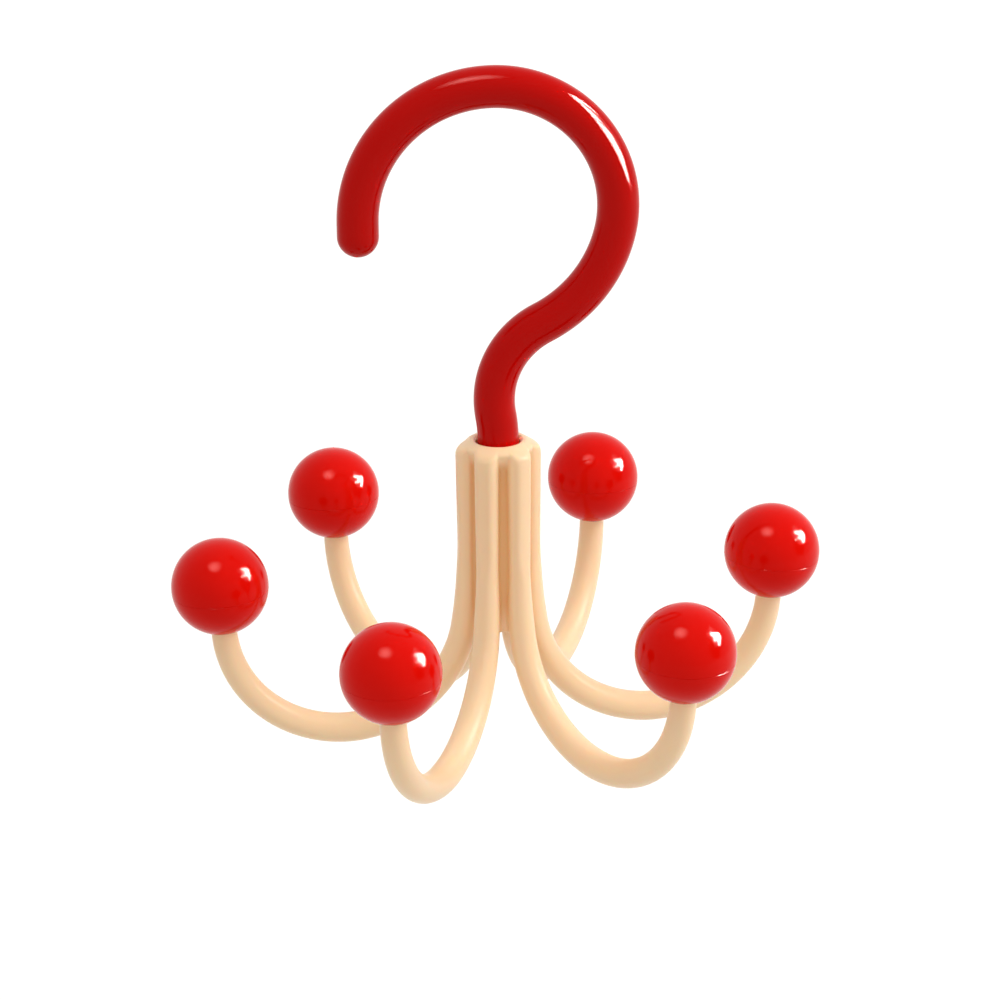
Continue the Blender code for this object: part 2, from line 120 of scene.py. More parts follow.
@dataclass
class Route:
    """A flat route in the XZ plane, walked leg by leg.

    Heading 0 is up, and a positive turn goes towards +X.
    """

    x: float
    z: float
    heading: float
    radius: float
    spacing: float = 1.0 * MM
    stations: list[Station] = field(default_factory=list)

    def __post_init__(self) -> None:
        """Starts the route with its first station."""
        self._stop()

    def run(self, length: float, end_radius: Optional[float] = None) -> "Route":
        """Walks straight on, with the rod's present radius or to another at the end."""
        return self._walk(length, 0.0, end_radius)

    def bend(self, radius: float, turn: float, end_radius: Optional[float] = None) -> "Route":
        """Walks round an arc by a signed turn, as run() walks straight on."""
        return self._walk(radius * abs(turn), turn, end_radius)

    def step(self, radius: float) -> "Route":
        """Changes the rod's radius at once, as at a shoulder."""
        self.radius = radius
        self._stop()
        return self

    def round_off(self, steps: int, open_share: float = 0.04) -> "Route":
        """Closes the rod with a half ball that leaves a tiny flat for its cap.

        Args:
            steps: Number of rings in the half ball.
            open_share: Share of the last step that the flat takes.

        Returns:
            The route itself.
        """
        for index in range(1, steps + 1):
            angle = math.pi / 2 * index / (steps + open_share)
            along = self.radius * math.sin(angle)
            self.stations.append(
                Station(
                    self.x + along * math.sin(self.heading),
                    self.z + along * math.cos(self.heading),
                    self.radius * math.cos(angle),
                    self.heading,
                )
            )
        return self

    def _stop(self) -> None:
        """Adds a station at the present place."""
        self.stations.append(Station(self.x, self.z, self.radius, self.heading))

    def _walk(self, length: float, turn: float, end_radius: Optional[float]) -> "Route":
        """Adds evenly spaced stations along a straight leg or an arc.

        Args:
            length: Distance to walk.
            turn: Signed angle turned, 0 on a straight leg.
            end_radius: Rod radius at the end, or None to keep the present one.

        Returns:
            The route itself.
        """
        first_x, first_z, first_heading = self.x, self.z, self.heading
        first_radius = self.radius
        last_radius = first_radius if end_radius is None else end_radius
        steps = max(1, math.ceil(length / self.spacing))
        for index in range(1, steps + 1):
            share = index / steps
            heading = first_heading + turn * share
            if turn:
                side = length / turn
                self.x = first_x + side * (math.cos(first_heading) - math.cos(heading))
                self.z = first_z + side * (math.sin(heading) - math.sin(first_heading))
            else:
                self.x = first_x + length * share * math.sin(heading)
                self.z = first_z + length * share * math.cos(heading)
            self.heading = heading
            self.radius = first_radius + (last_radius - first_radius) * share
            self._stop()
        return self


def eased_profile(corners: Sequence[Point2], radii: Sequence[float], steps: int) -> list[Point2]:
    """Rounds the corners of an outline.

    Args:
        corners: Corners in order, as (radius, height).
        radii: Fillet radius at each corner, 0 for a sharp one.
        steps: Number of edges in each fillet.

    Returns:
        The outline with its fillets.
    """
    outline: list[Point2] = []
    for index, (x, z) in enumerate(corners):
        if radii[index] == 0:
            outline.append((x, z))
            continue
        corner = Vector((x, z))
        before = (Vector(corners[index - 1]) - corner).normalized()
        after = (Vector(corners[index + 1]) - corner).normalized()
        half = before.angle(after) / 2
        middle = (before + after).normalized()
        centre = corner + middle * (radii[index] / math.sin(half))
        start = corner + before * (radii[index] / math.tan(half)) - centre
        end = corner + after * (radii[index] / math.tan(half)) - centre
        sweep = start.angle_signed(end)
        for step in range(steps + 1):
            turned = start.copy()
            turned.rotate(Matrix.Rotation(-sweep * step / steps, 2))
            outline.append((centre.x + turned.x, centre.y + turned.y))
    return outline


def arc_points(radius: float, start: float, end: float, steps: int) -> list[Point2]:
    """Points on a circle round the origin, from one angle to another."""
    angles = (start + (end - start) * step / steps for step in range(steps + 1))
    return [(radius * math.cos(angle), radius * math.sin(angle)) for angle in angles]


def soft_minimum(first: float, second: float, width: float) -> float:
    """The smaller of two lengths, eased where they are within a width of each other."""
    nearness = max(width - abs(first - second), 0.0) / width
    return min(first, second) - nearness * nearness * width / 4


def smooth_share(value: float, low: float, high: float) -> float:
    """A share that eases from 0 at low to 1 at high."""
    share = min(max((value - low) / (high - low), 0.0), 1.0)
    return share * share * (3 - 2 * share)


class Skin:
    """A mesh that is sewn together from rows of points."""

    def __init__(self, name: str) -> None:
        """Starts an empty skin with the name of the mesh that it becomes."""
        self.name = name
        self.work = bmesh.new()

    def row(self, points: Iterable[Point3]) -> list[Vert]:
        """Adds the points of one row, unsewn."""
        return [self.work.verts.new(point) for point in points]

    def sew(self, first: Sequence[Vert], second: Sequence[Vert], closed: bool = False) -> None:
        """Sews two rows of as many points with a band of faces.

        Args:
            first: The first row.
            second: The second row.
            closed: Whether the rows are rings.
        """
        count = len(first)
        for index in range(count if closed else count - 1):
            after = (index + 1) % count
            corners = [first[index], first[after], second[after], second[index]]
            self.work.faces.new(dict.fromkeys(corners))

    def fill(self, loop: Sequence[Vert]) -> None:
        """Closes a flat loop with triangles."""
        face = self.work.faces.new(loop)
        bmesh.ops.triangulate(self.work, faces=[face])

    def revolve(self, profile: Sequence[Point2], sides: int) -> None:
        """Turns an outline of (radius, height) round the Z axis.

        Args:
            profile: The outline. It is closed into a ring unless it starts on the axis.
            sides: Number of sides of the turned shape.
        """
        rings = []
        for radius, height in profile:
            if radius < MERGE_DISTANCE:
                rings.append(self.row([(0.0, 0.0, height)]) * sides)
                continue
            angles = (2 * math.pi * side / sides for side in range(sides))
            points = [(radius * math.cos(a), radius * math.sin(a), height) for a in angles]
            rings.append(self.row(points))
        closing = [rings[0]] if profile[0][0] > MERGE_DISTANCE else []
        for first, second in zip(rings, rings[1:] + closing):
            self.sew(first, second, closed=True)

    def object(self, closed: bool = True) -> Object:
        """Turns the skin into an object in the scene.

        Args:
            closed: Whether the skin is closed, so that its faces can be turned outwards.

        Returns:
            The new object, at the origin.
        """
        bmesh.ops.remove_doubles(self.work, verts=self.work.verts[:], dist=MERGE_DISTANCE)
        if closed:
            bmesh.ops.recalc_face_normals(self.work, faces=self.work.faces[:])
        mesh = bpy.data.meshes.new(self.name)
        self.work.to_mesh(mesh)
        self.work.free()
        return place_mesh(self.name, mesh)


def place_mesh(name: str, mesh: Mesh) -> Object:
    """Puts a mesh into the scene as an object at the origin."""
    obj = bpy.data.objects.new(name, mesh)
    bpy.context.scene.collection.objects.link(obj)
    return obj


def settled(obj: Object) -> Object:
    """Takes an object's evaluated mesh in place of its own, and its modifiers off.

    Args:
        obj: The object to settle.

    Returns:
        The same object, with a plain mesh.
    """
    bpy.context.view_layer.update()
    graph = bpy.context.evaluated_depsgraph_get()
    mesh = bpy.data.meshes.new_from_object(obj.evaluated_get(graph))
    obj.modifiers.clear()
    old = obj.data
    obj.data = mesh
    bpy.data.meshes.remove(old)
    mesh.name = obj.name
    return obj


def outward(obj: Object) -> Object:
    """Welds a closed mesh and turns all its faces outwards.

    Args:
        obj: The object whose mesh it is.

    Returns:
        The same object.
    """
    work = bmesh.new()
    work.from_mesh(obj.data)
    bmesh.ops.remove_doubles(work, verts=work.verts[:], dist=MERGE_DISTANCE)
    bmesh.ops.recalc_face_normals(work, faces=work.faces[:])
    work.to_mesh(obj.data)
    work.free()
    return obj


def marked_with_shade_and_fade(obj: Object, share_at: Callable[[Vector], float]) -> Object:
    """Writes on a mesh's points a share from 0 to 1: of painted shade on a piece, of fade on a
    glow card.

    Args:
        obj: The object.
        share_at: Gives the share, from 0 to 1, at a point.

    Returns:
        The same object.
    """
    layer = obj.data.attributes.new(PAINTED_SHADE_AND_FADE, "FLOAT", "POINT")
    layer.data.foreach_set("value", [share_at(vertex.co) for vertex in obj.data.vertices])
    return obj


def moved(obj: Object, matrix: Matrix) -> Object:
    """Moves an object's mesh, so that the object itself stays at the origin."""
    obj.data.transform(matrix)
    return obj


def cut(obj: Object, *cutters: Object) -> Object:
    """Cuts an object with others, which are used up.

    Args:
        obj: The object to cut.
        *cutters: The closed shapes to take away.

    Returns:
        The same object, cut.
    """
    for cutter in cutters:
        step = obj.modifiers.new(cutter.name, "BOOLEAN")
        step.operation = "DIFFERENCE"
        step.solver = "EXACT"
        step.object = cutter
    settled(obj)
    for cutter in cutters:
        mesh = cutter.data
        bpy.data.objects.remove(cutter, do_unlink=True)
        bpy.data.meshes.remove(mesh)
    return obj


def feed(tree: NodeTree, node: Node, **inputs: object) -> Node:
    """Feeds the inputs of a node.

    Args:
        tree: The tree that the node is in.
        node: The node.
        **inputs: A value or a socket for each input, by its identifier.

    Returns:
        The same node.
    """
    sockets = {socket.identifier: socket for socket in node.inputs}
    for key, value in inputs.items():
        if isinstance(value, Socket):
            tree.links.new(value, sockets[key])
        else:
            sockets[key].default_value = value
    return node


def blend(tree: NodeTree, share: Socket, first: object, second: object) -> Socket:
    """Adds a colour between two others.

    Args:
        tree: The tree to add it to.
        share: Socket that gives the first colour at 0 and the second at 1.
        first: A colour with its alpha, or a socket.
        second: Another colour, or its socket.

    Returns:
        The socket with the colour between them.
    """
    node = tree.nodes.new("ShaderNodeMix")
    node.data_type = "RGBA"
    feed(tree, node, Factor_Float=share, A_Color=first, B_Color=second)
    return next(socket for socket in node.outputs if socket.identifier == "Result_Color")


def combine(tree: NodeTree, operation: str, first: object, second: object) -> Socket:
    """Adds a sum on two values or sockets.

    Args:
        tree: The tree to add it to.
        operation: The kind of sum.
        first: First value or socket.
        second: Second value or socket.

    Returns:
        The socket with the result.
    """
    node = feed(tree, tree.nodes.new("ShaderNodeMath"), Value=first, Value_001=second)
    node.operation = operation
    return node.outputs["Value"]


class Recipe:
    """A Geometry Nodes tree with named inputs, run on one object at a time."""

    def __init__(self, name: str) -> None:
        """Makes the tree with its geometry sockets.

        Args:
            name: Name of the tree.
        """
        self.tree = bpy.data.node_groups.new(name, "GeometryNodeTree")
        self.tree.is_modifier = True
        self.tree.interface.new_socket(
            "Geometry", in_out="OUTPUT", socket_type="NodeSocketGeometry"
        )
        self.identifiers: dict[str, str] = {}
        self.group_input = self.tree.nodes.new("NodeGroupInput")
        self.geometry = self.input("Geometry", "NodeSocketGeometry")

    def input(self, name: str, kind: str = "NodeSocketFloat") -> Socket:
        """Adds a named input to the tree.

        Args:
            name: Name of the input.
            kind: Socket type.

        Returns:
            The socket that carries the input inside the tree.
        """
        socket = self.tree.interface.new_socket(name, in_out="INPUT", socket_type=kind)
        self.identifiers[name] = socket.identifier
        return self.group_input.outputs[name]

    def node(self, kind: str, **inputs: object) -> Node:
        """Adds a node of a kind and feeds its inputs by their identifiers."""
        return feed(self.tree, self.tree.nodes.new(kind), **inputs)

    def finish(self, geometry: Socket) -> "Recipe":
        """Ends the tree with real geometry in the wanted material.

        Args:
            geometry: The socket with what the tree has made.

        Returns:
            The recipe itself.
        """
        material = self.input("Material", "NodeSocketMaterial")
        real = self.node("GeometryNodeRealizeInstances", Geometry=geometry)
        dressed = self.node(
            "GeometryNodeSetMaterial", Geometry=real.outputs["Geometry"], Material=material
        )
        end = self.tree.nodes.new("NodeGroupOutput")
        self.tree.links.new(dressed.outputs["Geometry"], end.inputs["Geometry"])
        return self

    def run(self, obj: Object, **values: object) -> Object:
        """Runs the tree on an object and keeps the result as its plain mesh.

        Args:
            obj: The object that the tree starts from.
            **values: A value for each named input, with _ for a space.

        Returns:
            The same object, with the tree's mesh and no modifier.
        """
        modifier = obj.modifiers.new(self.tree.name, "NODES")
        modifier.node_group = self.tree
        for name, value in values.items():
            modifier[self.identifiers[name.replace("_", " ")]] = value
        return settled(obj)


def rod_recipe() -> Recipe:
    """A round rod along a route of points that carry their own rod radius.

    Returns:
        The recipe, with the number of the rod's sides as an input.
    """
    recipe = Recipe("rod along a route")
    sides = recipe.input("Sides", "NodeSocketInt")
    path = recipe.node("GeometryNodeMeshToCurve", Mesh=recipe.geometry)
    radius = recipe.node("GeometryNodeInputNamedAttribute", Name="rod_radius")
    section = recipe.node("GeometryNodeCurvePrimitiveCircle", Resolution=sides, Radius=1.0)
    rod = recipe.node(
        "GeometryNodeCurveToMesh",
        **{
            "Curve": path.outputs["Curve"],
            "Profile Curve": section.outputs["Curve"],
            "Scale": radius.outputs["Attribute"],
            "Fill Caps": True,
        },
    )
    return recipe.finish(rod.outputs["Mesh"])


def ring_recipe() -> Recipe:
    """Copies of one sector round the Z axis, welded into one skin.

    Returns:
        The recipe, with the count, the turn at rest and the welding distance as inputs.
    """
    recipe = Recipe("sectors in a ring")
    count = recipe.input("Count", "NodeSocketInt")
    rest_turn = recipe.input("Rest turn")
    weld = recipe.input("Weld distance")
    points = recipe.node("GeometryNodePoints", Count=count)
    index = recipe.node("GeometryNodeInputIndex")
    pitch = combine(recipe.tree, "DIVIDE", 2 * math.pi, count)
    turn = combine(recipe.tree, "MULTIPLY", index.outputs["Index"], pitch)
    turn = combine(recipe.tree, "ADD", turn, rest_turn)
    angles = recipe.node("ShaderNodeCombineXYZ", Z=turn)
    rotation = recipe.node("FunctionNodeEulerToRotation", Euler=angles.outputs["Vector"])
    copies = recipe.node(
        "GeometryNodeInstanceOnPoints",
        Points=points.outputs["Points"],
        Instance=recipe.geometry,
        Rotation=rotation.outputs["Rotation"],
    )
    real = recipe.node("GeometryNodeRealizeInstances", Geometry=copies.outputs["Instances"])
    welded = recipe.node(
        "GeometryNodeMergeByDistance", Geometry=real.outputs["Geometry"], Distance=weld
    )
    return recipe.finish(welded.outputs["Geometry"])


def thread_recipe() -> Recipe:
    """A screw's thread, a ridge that winds up a shank.

    Returns:
        The recipe, with the turns and the thread's sizes as inputs.
    """
    steps_in_turn = 24
    ridge_sides = 3
    recipe = Recipe("thread round a shank")
    turns = recipe.input("Turns")
    core = recipe.input("Core radius")
    length = recipe.input("Length")
    ridge = recipe.input("Ridge height")
    winding = recipe.node(
        "GeometryNodeCurveSpiral",
        **{
            "Resolution": steps_in_turn,
            "Rotations": turns,
            "Start Radius": core,
            "End Radius": core,
            "Height": length,
        },
    )
    section = recipe.node(
        "GeometryNodeCurvePrimitiveCircle", Resolution=ridge_sides, Radius=ridge
    )
    thread = recipe.node(
        "GeometryNodeCurveToMesh",
        **{
            "Curve": winding.outputs["Curve"],
            "Profile Curve": section.outputs["Curve"],
            "Fill Caps": True,
        },
    )
    joined = recipe.node("GeometryNodeJoinGeometry")
    recipe.tree.links.new(thread.outputs["Mesh"], joined.inputs["Geometry"])
    recipe.tree.links.new(recipe.geometry, joined.inputs["Geometry"])
    return recipe.finish(joined.outputs["Geometry"])


class Paint:
    """A material and the nodes that its shader reads."""

    def __init__(self, name: str) -> None:
        """Makes a material with one Principled shader.

        Args:
            name: Name of the material.
        """
        self.material = bpy.data.materials.new(name)
        self.material.use_nodes = True
        self.tree = self.material.node_tree
        self.shader = self.tree.nodes["Principled BSDF"]
        self.place = self.node("ShaderNodeTexCoord").outputs["Object"]

    def node(self, kind: str, **inputs: object) -> Node:
        """Adds a node of a kind and feeds its inputs by their identifiers."""
        return feed(self.tree, self.tree.nodes.new(kind), **inputs)

    def coat(self, **values: object) -> None:
        """Feeds the shader with values or sockets, with _ for a space."""
        feed(self.tree, self.shader, **{name.replace("_", " "): values[name] for name in values})

    def noise(self, size: float, detail: float = 2.0, stretch: Point3 = (1, 1, 1)) -> Socket:
        """A noise whose blotches have about the given size.

        Args:
            size: Size of a blotch.
            detail: Number of finer layers.
            stretch: How many times longer the blotches are along X, Y and Z.

        Returns:
            The socket with the noise, from 0 to 1.
        """
        scale = [1 / (size * times) for times in stretch]
        mapping = self.node("ShaderNodeMapping", Vector=self.place, Scale=scale)
        place = mapping.outputs["Vector"]
        noise = self.node("ShaderNodeTexNoise", Vector=place, Scale=1.0, Detail=detail)
        return noise.outputs["Fac"]

    def ranged(
        self, value: Socket, span: tuple[float, float], start: float, end: float
    ) -> Socket:
        """Maps a socket's range on another range.

        Args:
            value: The socket to map.
            span: The values that give start and end.
            start: First end of the new range.
            end: Last end of the new range.

        Returns:
            The mapped socket.
        """
        ends = {"From Min": span[0], "From Max": span[1], "To Min": start, "To Max": end}
        return self.node("ShaderNodeMapRange", Value=value, **ends).outputs["Result"]

    def attribute(self, name: str) -> Socket:
        """A number that the mesh carries on its points, 0 where it has none."""
        node = self.node("ShaderNodeAttribute")
        node.attribute_name = name
        return node.outputs["Fac"]

    def colour(self, blotches: Socket, first: Colour, second: Colour, painted_shade: Colour) -> None:
        """Colours the piece in blotches, and paints shade in a darker colour where the mesh
        carries a share of painted shade.

        Args:
            blotches: Noise between the first and the second colour.
            first: Colour where the noise is 0.
            second: Colour where the noise is 1.
            painted_shade: Darker colour of painted shade, where the mesh's share is 1.
        """
        skin = blend(self.tree, blotches, (*first, 1.0), (*second, 1.0))
        # Painted shade: the colour darkens towards the shade colour by the mesh's share.
        self.coat(Base_Color=blend(self.tree, self.attribute(PAINTED_SHADE_AND_FADE), skin, (*painted_shade, 1.0)))

    def rough(self, blotches: Socket, roughness: float, shares: tuple[float, float]) -> None:
        """Roughens the piece in blotches, between two shares of its roughness."""
        start, end = (roughness * share for share in shares)
        self.coat(Roughness=self.ranged(blotches, NOISE_SPAN, start, end))

    def relief(self, heights: Sequence[tuple[Socket, float]]) -> None:
        """Raises the surface by heights, one over the other.

        Args:
            heights: Sockets, each with the height in metres that 1 stands for.
        """
        under: dict[str, Socket] = {}
        for value, height in heights:
            bump = self.node("ShaderNodeBump", Height=value, Distance=height, **under)
            under = {"Normal": bump.outputs["Normal"]}
        self.coat(**under)


@dataclass(frozen=True)
class GlossyRed:
    """Polished red plastic with a faint orange peel and slow waves from the mould."""

    colour: Colour = (0.72, 0.004, 0.001)
    waved_colour: Colour = (0.68, 0.003, 0.001)
    # Painted shade: the darker red that the whole hook takes, for the weaker light that reaches
    # it.
    painted_shade_colour: Colour = (0.51, 0.002, 0.001)
    gloss_level: float = 0.10
    gloss_tint: Colour = (1.0, 0.62, 0.56)
    refraction: float = 1.5
    roughness: float = 0.10
    roughness_shares: tuple[float, float] = (0.8, 1.3)
    smear_size: float = 3.0 * MM
    peel_size: float = 1.4 * MM
    peel_height: float = 0.0012 * MM
    wave_size: float = 9.0 * MM
    wave_height: float = 0.01 * MM

    def material(self) -> Material:
        """Builds the material.

        Returns:
            The finished material.
        """
        paint = Paint("glossy_red_plastic")
        paint.coat(Specular_IOR_Level=self.gloss_level, Specular_Tint=(*self.gloss_tint, 1.0))
        paint.coat(IOR=self.refraction)
        waves = paint.noise(self.wave_size)
        paint.colour(waves, self.waved_colour, self.colour, self.painted_shade_colour)
        paint.rough(paint.noise(self.smear_size), self.roughness, self.roughness_shares)
        paint.relief([(waves, self.wave_height), (paint.noise(self.peel_size), self.peel_height)])
        return paint.material


@dataclass(frozen=True)
class SatinCream:
    """Cream plastic with a satin skin that lets a little light in."""

    colour: Colour = (0.99, 0.725, 0.462)
    flow_colour: Colour = (0.98, 0.705, 0.442)
    # Painted shade: the darker orange that the grooves between the ribs take.
    groove_shade_colour: Colour = (0.85, 0.50, 0.22)
    gloss_level: float = 0.5
    refraction: float = 1.5
    light_let_in: float = 0.3
    light_depth: float = 2.0 * MM
    light_depth_shares: Colour = (1.0, 0.3, 0.12)
    roughness: float = 0.30
    roughness_shares: tuple[float, float] = (0.96, 1.15)
    grain_size: float = 0.9 * MM
    grain_height: float = 0.0012 * MM
    flow_size: float = 6.0 * MM
    flow_stretch: Point3 = (1, 1, 4)

    def material(self) -> Material:
        """Builds the material.

        Returns:
            The finished material.
        """
        paint = Paint("satin_cream_plastic")
        paint.coat(
            Specular_IOR_Level=self.gloss_level,
            IOR=self.refraction,
            Subsurface_Weight=self.light_let_in,
            Subsurface_Scale=self.light_depth,
            Subsurface_Radius=self.light_depth_shares,
        )
        flow = paint.noise(self.flow_size, stretch=self.flow_stretch)
        paint.colour(flow, self.flow_colour, self.colour, self.groove_shade_colour)
        paint.rough(flow, self.roughness, self.roughness_shares)
        paint.relief([(paint.noise(self.grain_size), self.grain_height)])
        return paint.material


@dataclass(frozen=True)
class ZincPlate:
    """Zinc plated steel with fine turning marks."""

    colour: Colour = (0.60, 0.61, 0.62)
    dull_colour: Colour = (0.48, 0.49, 0.50)
    roughness: float = 0.32
    roughness_shares: tuple[float, float] = (0.8, 1.25)
    mark_size: float = 0.25 * MM
    mark_detail: float = 3.0
    mark_height: float = 0.001 * MM

    def material(self) -> Material:
        """Builds the material.

        Returns:
            The finished material.
        """
        paint = Paint("zinc_plated_steel")
        paint.coat(Metallic=1.0)
        marks = paint.noise(self.mark_size, detail=self.mark_detail)
        skin = blend(paint.tree, marks, (*self.dull_colour, 1.0), (*self.colour, 1.0))
        paint.coat(Base_Color=skin)
        paint.rough(marks, self.roughness, self.roughness_shares)
        paint.relief([(marks, self.mark_height)])
        return paint.material


@dataclass
class Workshop:
    """The finishes and recipes that the pieces share."""

    red: Material = field(default_factory=lambda: GlossyRed().material())
    cream: Material = field(default_factory=lambda: SatinCream().material())
    zinc: Material = field(default_factory=lambda: ZincPlate().material())
    rod: Recipe = field(default_factory=rod_recipe)
    ring: Recipe = field(default_factory=ring_recipe)
    thread: Recipe = field(default_factory=thread_recipe)

    def finish_of(self, slot: Slot) -> Material:
        """The material of a slot."""
        return {Slot.RED: self.red, Slot.CREAM: self.cream, Slot.ZINC: self.zinc}[slot]

    def hand_over(self, obj: Object, node: str, slot: Slot, body: Body) -> None:
        """Dresses a finished piece and ties it to the frame.

        Args:
            obj: The piece, at the origin, with its place in its mesh.
            node: The solid that it stands for.
            slot: The record's material slot of its finish.
            body: The body that it rides on.
        """
        obj.name = f"{node}_skin"
        obj.data.name = obj.name
        obj.data.materials.clear()
        obj.data.materials.append(self.finish_of(slot))
        obj.data.shade_smooth()
        obj.data.set_sharp_from_angle(angle=SHARP_ANGLE)
        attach(obj, body.value)
        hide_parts(node)
        log.info("%s: %d faces, on %s", obj.name, len(obj.data.polygons), body.value)


@dataclass
class HubFit:
    """Sizes that the hook, the hub and the fixing share, down from the hub's top face."""

    top_z: float
    height: float = 51.2 * MM
    floor_thickness: float = 3.0 * MM
    seat_gap: float = 0.3 * MM
    running_clearance: float = 0.35 * MM
    stem_radius: float = 5.35 * MM
    nose_radius: float = 3.2 * MM
    pilot_radius: float = 1.7 * MM
    pilot_depth: float = 13.0 * MM
    washer_thickness: float = 1.0 * MM
    head_height: float = 2.0 * MM
    screw_recess: float = 0.9 * MM

    @property
    def counterbore_depth(self) -> float:
        """Depth of the recess that takes the washer and the screw's head."""
        return self.washer_thickness + self.head_height + self.screw_recess + 2 * self.seat_gap

    @property
    def floor_bottom(self) -> float:
        """Underside of the hub's floor, from the top face."""
        return self.counterbore_depth - self.height

    @property
    def floor_top(self) -> float:
        """Upper side of the hub's floor, from the top face."""
        return self.floor_bottom + self.floor_thickness

    @property
    def bore_radius(self) -> float:
        """Radius of the bore that the stem turns in."""
        return self.stem_radius + self.running_clearance


@dataclass
class HookRod:
    """The red hook: one rod from the nose in the hub up to the rounded tip."""

    fit: HubFit
    bow_radius: float = 39.0 * MM
    bow_turn: float = math.radians(9.8)
    neck_radius: float = 23.4 * MM
    neck_turn: float = math.radians(62.0)
    loop_foot_turn: float = math.radians(50.0)
    loop_radius: float = 30.6 * MM
    mouth_radius: float = 34.9 * MM
    tip_straight: float = 3.4 * MM
    nose_chamfer: float = 0.4 * MM
    sides: int = 72
    tip_rings: int = 14
    pilot_sides: int = 48
    pilot_overrun: float = 1.0 * MM
    node: str = "hook"

    @property
    def loop_turn(self) -> float:
        """Turn that is left for the loop's own radius on its lower side."""
        return self.neck_turn - self.loop_foot_turn

    @property
    def loop_foot_radius(self) -> float:
        """Radius of the bend from the neck into the loop, which centres the crown.

        Returns:
            The radius.
        """
        across = (
            self.loop_radius * math.cos(self.loop_turn)
            + self.bow_radius * (1 - math.cos(self.bow_turn))
            - self.neck_radius * (math.cos(self.bow_turn) - math.cos(self.neck_turn))
        )
        return across / (math.cos(self.loop_turn) - math.cos(self.neck_turn))

    def route(self) -> Route:
        """The rod's route, from the end of the nose to the tip.

        Returns:
            The route.
        """
        nose_end = self.fit.top_z + self.fit.floor_bottom
        shoulder = self.fit.top_z + self.fit.floor_top + self.fit.seat_gap
        route = Route(0.0, nose_end, 0.0, self.fit.nose_radius - self.nose_chamfer)
        route.run(self.nose_chamfer, self.fit.nose_radius)
        route.run(shoulder - nose_end - self.nose_chamfer)
        route.step(self.fit.stem_radius)
        route.run(self.fit.top_z - shoulder)
        route.bend(self.bow_radius, -self.bow_turn)
        route.bend(self.neck_radius, self.bow_turn + self.neck_turn)
        route.bend(self.loop_foot_radius, -self.loop_foot_turn)
        route.bend(self.loop_radius, -self.loop_turn - math.pi / 2)
        route.bend(self.mouth_radius, -math.pi / 2)
        route.run(self.tip_straight)
        return route.round_off(self.tip_rings)

    def build(self, shop: Workshop) -> Object:
        """Makes the hook and ties it to the frame.

        Args:
            shop: The finishes and recipes.

        Returns:
            The hook.
        """
        stations = self.route().stations
        mesh = bpy.data.meshes.new(self.node)
        corners = [(station.x, 0.0, station.z) for station in stations]
        mesh.from_pydata(corners, [(i, i + 1) for i in range(len(corners) - 1)], [])
        radii = mesh.attributes.new("rod_radius", "FLOAT", "POINT")
        radii.data.foreach_set("value", [station.radius for station in stations])
        rod = shop.rod.run(place_mesh(self.node, mesh), Sides=self.sides, Material=shop.red)
        # Painted shade: the whole hook takes the darker red, for the weaker light that reaches
        # it.
        hook = marked_with_shade_and_fade(cut(outward(rod), self.pilot_cutter()), lambda point: 1.0)
        shop.hand_over(hook, self.node, Slot.RED, Body.HOOK)
        return hook

    def pilot_cutter(self) -> Object:
        """The hole that the screw is driven into.

        Returns:
            The closed shape to take away.
        """
        nose_end = self.fit.top_z + self.fit.floor_bottom
        start = nose_end - self.pilot_overrun
        end = nose_end + self.fit.pilot_depth
        radius = self.fit.pilot_radius
        profile = [(0.0, end), (radius, end - radius), (radius, start), (0.0, start)]
        skin = Skin("pilot_cutter")
        skin.revolve(profile, self.pilot_sides)
        return skin.object()


